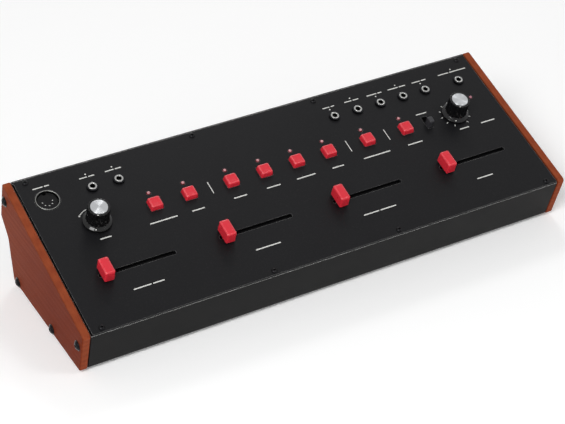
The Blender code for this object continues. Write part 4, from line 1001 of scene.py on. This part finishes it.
SLIDER_CAP = (0.0072, 0.0134)
SLIDER_ROWS = [(0.0009, 0.0008, 0.0004), (0.0003, 0.00095, 0.0006), (0, 0.0014, 0.0012),
               (0.0001, 0.0085, 0.0012), (0.0002, 0.009, 0.0012), (0.00045, 0.0094, 0.0012),
               (0.0008, 0.0097, 0.0011), (0.0012, 0.00988, 0.001), (0.002, 0.00996, 0.0007),
               (0.003, 0.01, 0.0003)]
STEEL = build_metal("bright_steel", "9d9d9c", (0.25, 0.4))
for number in range(1, 5):
    place = on_panel(panel_x(f"slider_cap_{number}"), SLIDER_ROW)
    dress(f"slider_{number}_cap", lofted_cap(*SLIDER_CAP, SLIDER_ROWS), place, RED,
          (f"slider_cap_{number}",), f"slider_{number}", 50)
    keep(f"slider_lever_{number}", STEEL)
    keep(f"slider_body_{number}", MOULDED)


# TWO-WAY SWITCH
# A small slide switch beside the right-hand knob. Its moulded body is fixed under the panel, and
# its dark grey lever, with a plain rounded top, stands in a short slot at the end nearer the player.

MODE_TRAVEL = 0.005
LEVER_ROWS = [(0, -0.0033, 0.0006), (0, 0.0054, 0.0009), (0.0001, 0.0059, 0.0009),
              (0.0003, 0.0063, 0.0008), (0.0006, 0.00645, 0.0006), (0.001, 0.0065, 0.0004)]
LEVER_GREY = build_plastic("lever_grey", "2d2d30", (0.38, 0.5))
dress("mode_lever", lofted_cap(0.004, 0.0053, LEVER_ROWS),
      on_panel(mode_x, CONTROL_ROW - MODE_TRAVEL / 2), LEVER_GREY,
      ("mode_switch_lever",), "mode_lever", 50)
keep("mode_switch_body", MOULDED)


# POWER SWITCH
# A black rocker switch that snaps into the rear wall: a moulded frame and housing, and a glossy
# key that tilts in them. A white bar and a ring are printed on the key's two ends.

REST_TILT = math.radians(6)
PIVOT_DEPTH = 0.0052
OPENING_LENGTH = 0.0168
KEY_GAP = 0.0006
KEY_TOP = 0.0084
KEY_MIDDLE = 0.007

switch_place = rear_place("power_switch_housing")
opening = rectangle(0, 0, 0.0108, OPENING_LENGTH, 0.0004)
housing_side = rectangle(0, 0, 0.013, 0.019, 0.0004)
flange = plate([rectangle(0, 0, 0.015, 0.021, 0.0012), opening], 0.0003, 0.0021, 0.0003, 3)
shell = plate([housing_side, opening], -0.0138, 0.0005)
floor = plate([housing_side], -0.014, -0.0128)
dress("power_switch_frame", joined([flange, shell, floor]), switch_place, MOULDED,
      ("power_switch_housing",))

half = OPENING_LENGTH / 2 - KEY_GAP - KEY_TOP * math.sin(REST_TILT)
profile = [(-0.0043, -half * 0.6), (KEY_TOP, -half), (KEY_MIDDLE, 0), (KEY_TOP, half),
           (-0.0043, half * 0.6)]
rocker = plate([rounded(profile, (0.0005, 0.0008, 0.004, 0.0008, 0.0005), 6)],
               -0.0048, 0.0048, 0.0003, 3)
rocker.transform(Matrix.Rotation(-math.pi / 2, 4, "Y"))
slope = math.atan2(KEY_TOP - KEY_MIDDLE, half)
marks = []
for side, outlines in ((1, [rectangle(0, 0, 0.0005, 0.0026, 0.0001, 2)]),
                       (-1, [circle(0, 0, 0.0014, 32), circle(0, 0, 0.001, 32)])):
    mark = plate(outlines, 0.0, 0.00006)
    middle = Matrix.Translation((0, side * half * 0.5, 0.00775))
    mark.transform(middle @ Matrix.Rotation(side * slope, 4, "X"))
    marks.append(mark)
pivot = switch_place @ Matrix.Translation((0, 0, -PIVOT_DEPTH)) @ Matrix.Rotation(REST_TILT, 4, "X")
dress("power_rocker_key", rocker, pivot, KNOB_BLACK, ("power_rocker",), "rocker")
dress("power_rocker_signs", joined(marks), pivot, INK, (), "rocker")


# REAR SOCKETS
# A barrel inlet for the supply and a square data socket stand on the main board behind openings in
# the rear wall. Two long output jacks for 6.35 mm plugs are held by hexagon nuts.

def block(side, hole, front, middle, back, easing=0.0):
    """A socket's body: a hole in its front part, and a solid back part that overlaps it."""
    return joined([plate([side, hole], middle, front, easing), plate([side], back, middle + 0.0001)])


inlet = block(rectangle(0, 0, 0.0092, 0.0118, 0.0006), circle(0, 0, 0.0031), 0.0003, -0.009, -0.0136,
              0.0002)
pin = turned([(0, -0.0012), (0.0011, -0.0012), (0.0011, -0.0091), (0, -0.0091)], (0, 0.0004, 0, 0), 24)
mouth = [(-0.0043, -0.00395), (0.0043, -0.00395), (0.0043, 0.00225), (0.0027, 0.00395),
         (-0.0027, 0.00395), (-0.0043, 0.00225)]
can = block(rectangle(0, 0, 0.0122, 0.011, 0.0006), rounded(mouth, [0.0003] * 6, 3), 0.0003, -0.009,
            -0.016, 0.0002)
tongue = plate([rectangle(0, 0, 0.0058, 0.0034, 0.0003)], -0.0091, -0.0012, 0.0002)
pieces = [("supply_inlet", inlet, "dc_inlet", MOULDED, "black_plastic", ("dc_inlet",)),
          ("supply_pin", pin, "dc_inlet", BRIGHT, "nickel", ()),
          ("data_socket_can", can, "data_socket", NICKEL, "nickel", ("data_socket",)),
          ("data_socket_tongue", tongue, "data_socket", MOULDED, "black_plastic", ())]
for number in (1, 2):
    jack = f"output_jack_{number}"
    threaded = turned([(0.0048, 0.0042), (0.0048, -0.002), (0.0033, -0.002), (0.0033, 0.0042)],
                      (0.0004, 0, 0, 0.0005), 48, 3)
    nut = plate([circle(0, 0, 0.0066, 6), circle(0, 0, 0.0048)], 0.0002, 0.0023, 0.0003, 3)
    tube = block(rectangle(0, 0, 0.0156, 0.0168, 0.0008), circle(0, 0, 0.0034), -0.0015, -0.024, -0.026)
    pieces += [(f"output_{number}_bushing", threaded, jack, NICKEL, "nickel", ()),
               (f"output_{number}_nut", nut, jack, NICKEL, "nickel", ()),
               (f"output_{number}_body", tube, jack, MOULDED, "black_plastic", (jack,))]
for name, mesh, solid, material, slot, replaced in pieces:
    dress(name, mesh, rear_place(solid), material, replaced)


# STAGE, LIGHT AND CAMERA
# A plain white floor, soft lamps above and beside, and the photograph's long lens from the front
# left, high over the case.

ROOM_LOW = 0.8
ROOM_HIGH = 0.25
PHOTO_WIDTH = 565
FOCAL_PIXELS = 1673
SENSOR_WIDTH = 36


def shows_background(tree):
    """1 for the rays that show the background: the camera's, and those in metal and glass."""
    path = add(tree, "ShaderNodeLightPath", {})
    mirrored = add(tree, "ShaderNodeMath", {0: path["Is Glossy Ray"], 1: path["Is Transmission Ray"]},
                   operation="MAXIMUM")["Value"]
    return add(tree, "ShaderNodeMath", {0: path["Is Camera Ray"], 1: mirrored},
               operation="MAXIMUM")["Value"]


def build_floor():
    """Matt white that keeps the shadow, and stays white to the eye where the lamps don't reach."""
    white, tree = new_finish("studio_white", (0.98, 0.98, 0.98, 1), 0.9, Specular_IOR_Level=0.0,
                             Emission_Color=(1, 1, 1, 1))
    place = add(tree, "ShaderNodeTexCoord", {})["Object"]
    reach = add(tree, "ShaderNodeVectorMath", {"Vector": place}, operation="LENGTH")["Value"]
    lift = ranged(tree, reach, (0.5, 3), (0.14, 0.5))
    feed(tree, Emission_Strength=times(tree, lift, shows_background(tree)))
    return white


def build_room():
    """White to the camera and in mirrors; as a light it is bright low down and dim overhead."""
    room = bpy.data.worlds.new("studio")
    room.use_nodes = True
    tree = room.node_tree
    height = part(tree, add(tree, "ShaderNodeTexCoord", {})["Generated"], "Z")
    light = ranged(tree, height, (0.1, 0.75), (ROOM_LOW, ROOM_HIGH), interpolation_type="SMOOTHSTEP")
    level = add(tree, "ShaderNodeMix", {"Factor": shows_background(tree), "A": light, "B": 1},
                data_type="FLOAT")["Result"]
    fill(tree, tree.nodes["Background"].inputs, {"Color": (1, 1, 1, 1), "Strength": level})
    return room


def soft_lamp(name, place, size, power):
    """A large square lamp that faces the synthesizer."""
    light = bpy.data.lights.new(name, "AREA")
    light.size = size
    light.energy = power
    place = Vector(place)
    facing = place.to_track_quat("Z", "Y").to_matrix().to_4x4()
    put(name, light).matrix_world = Matrix.Translation(place) @ facing


ground = put("studio_floor", plate([rectangle(0, 0, 30, 30, 0.1)], -0.1, 0))
ground.data.materials.append(build_floor())
scene = bpy.context.scene
scene.world = build_room()
soft_lamp("key", (-1.2, -1.0, 1.5), 0.8, 26)
soft_lamp("right_fill", (1.0, -1.31, 1.72), 0.5, 7)
soft_lamp("overhead", (0.5, 0.85, 1.05), 0.3, 2.4)

scene.view_settings.view_transform = "Standard"
lens = bpy.data.cameras.new("camera")
lens.sensor_width = SENSOR_WIDTH
lens.lens = FOCAL_PIXELS / PHOTO_WIDTH * SENSOR_WIDTH
lens.clip_start = 0.05
lens.clip_end = 50
eye = put("camera", lens)
right = Vector((0.870679, -0.46266, 0.166924))
down = Vector((-0.273461, -0.737443, -0.617573))
ahead = Vector((0.408823, 0.492061, -0.768596))
turn = Matrix((right, -down, -ahead)).transposed().to_4x4()
eye.matrix_world = PANEL_PLACE @ Matrix.Translation((-0.29854, -0.50495, 0.85786)) @ turn
scene.camera = eye
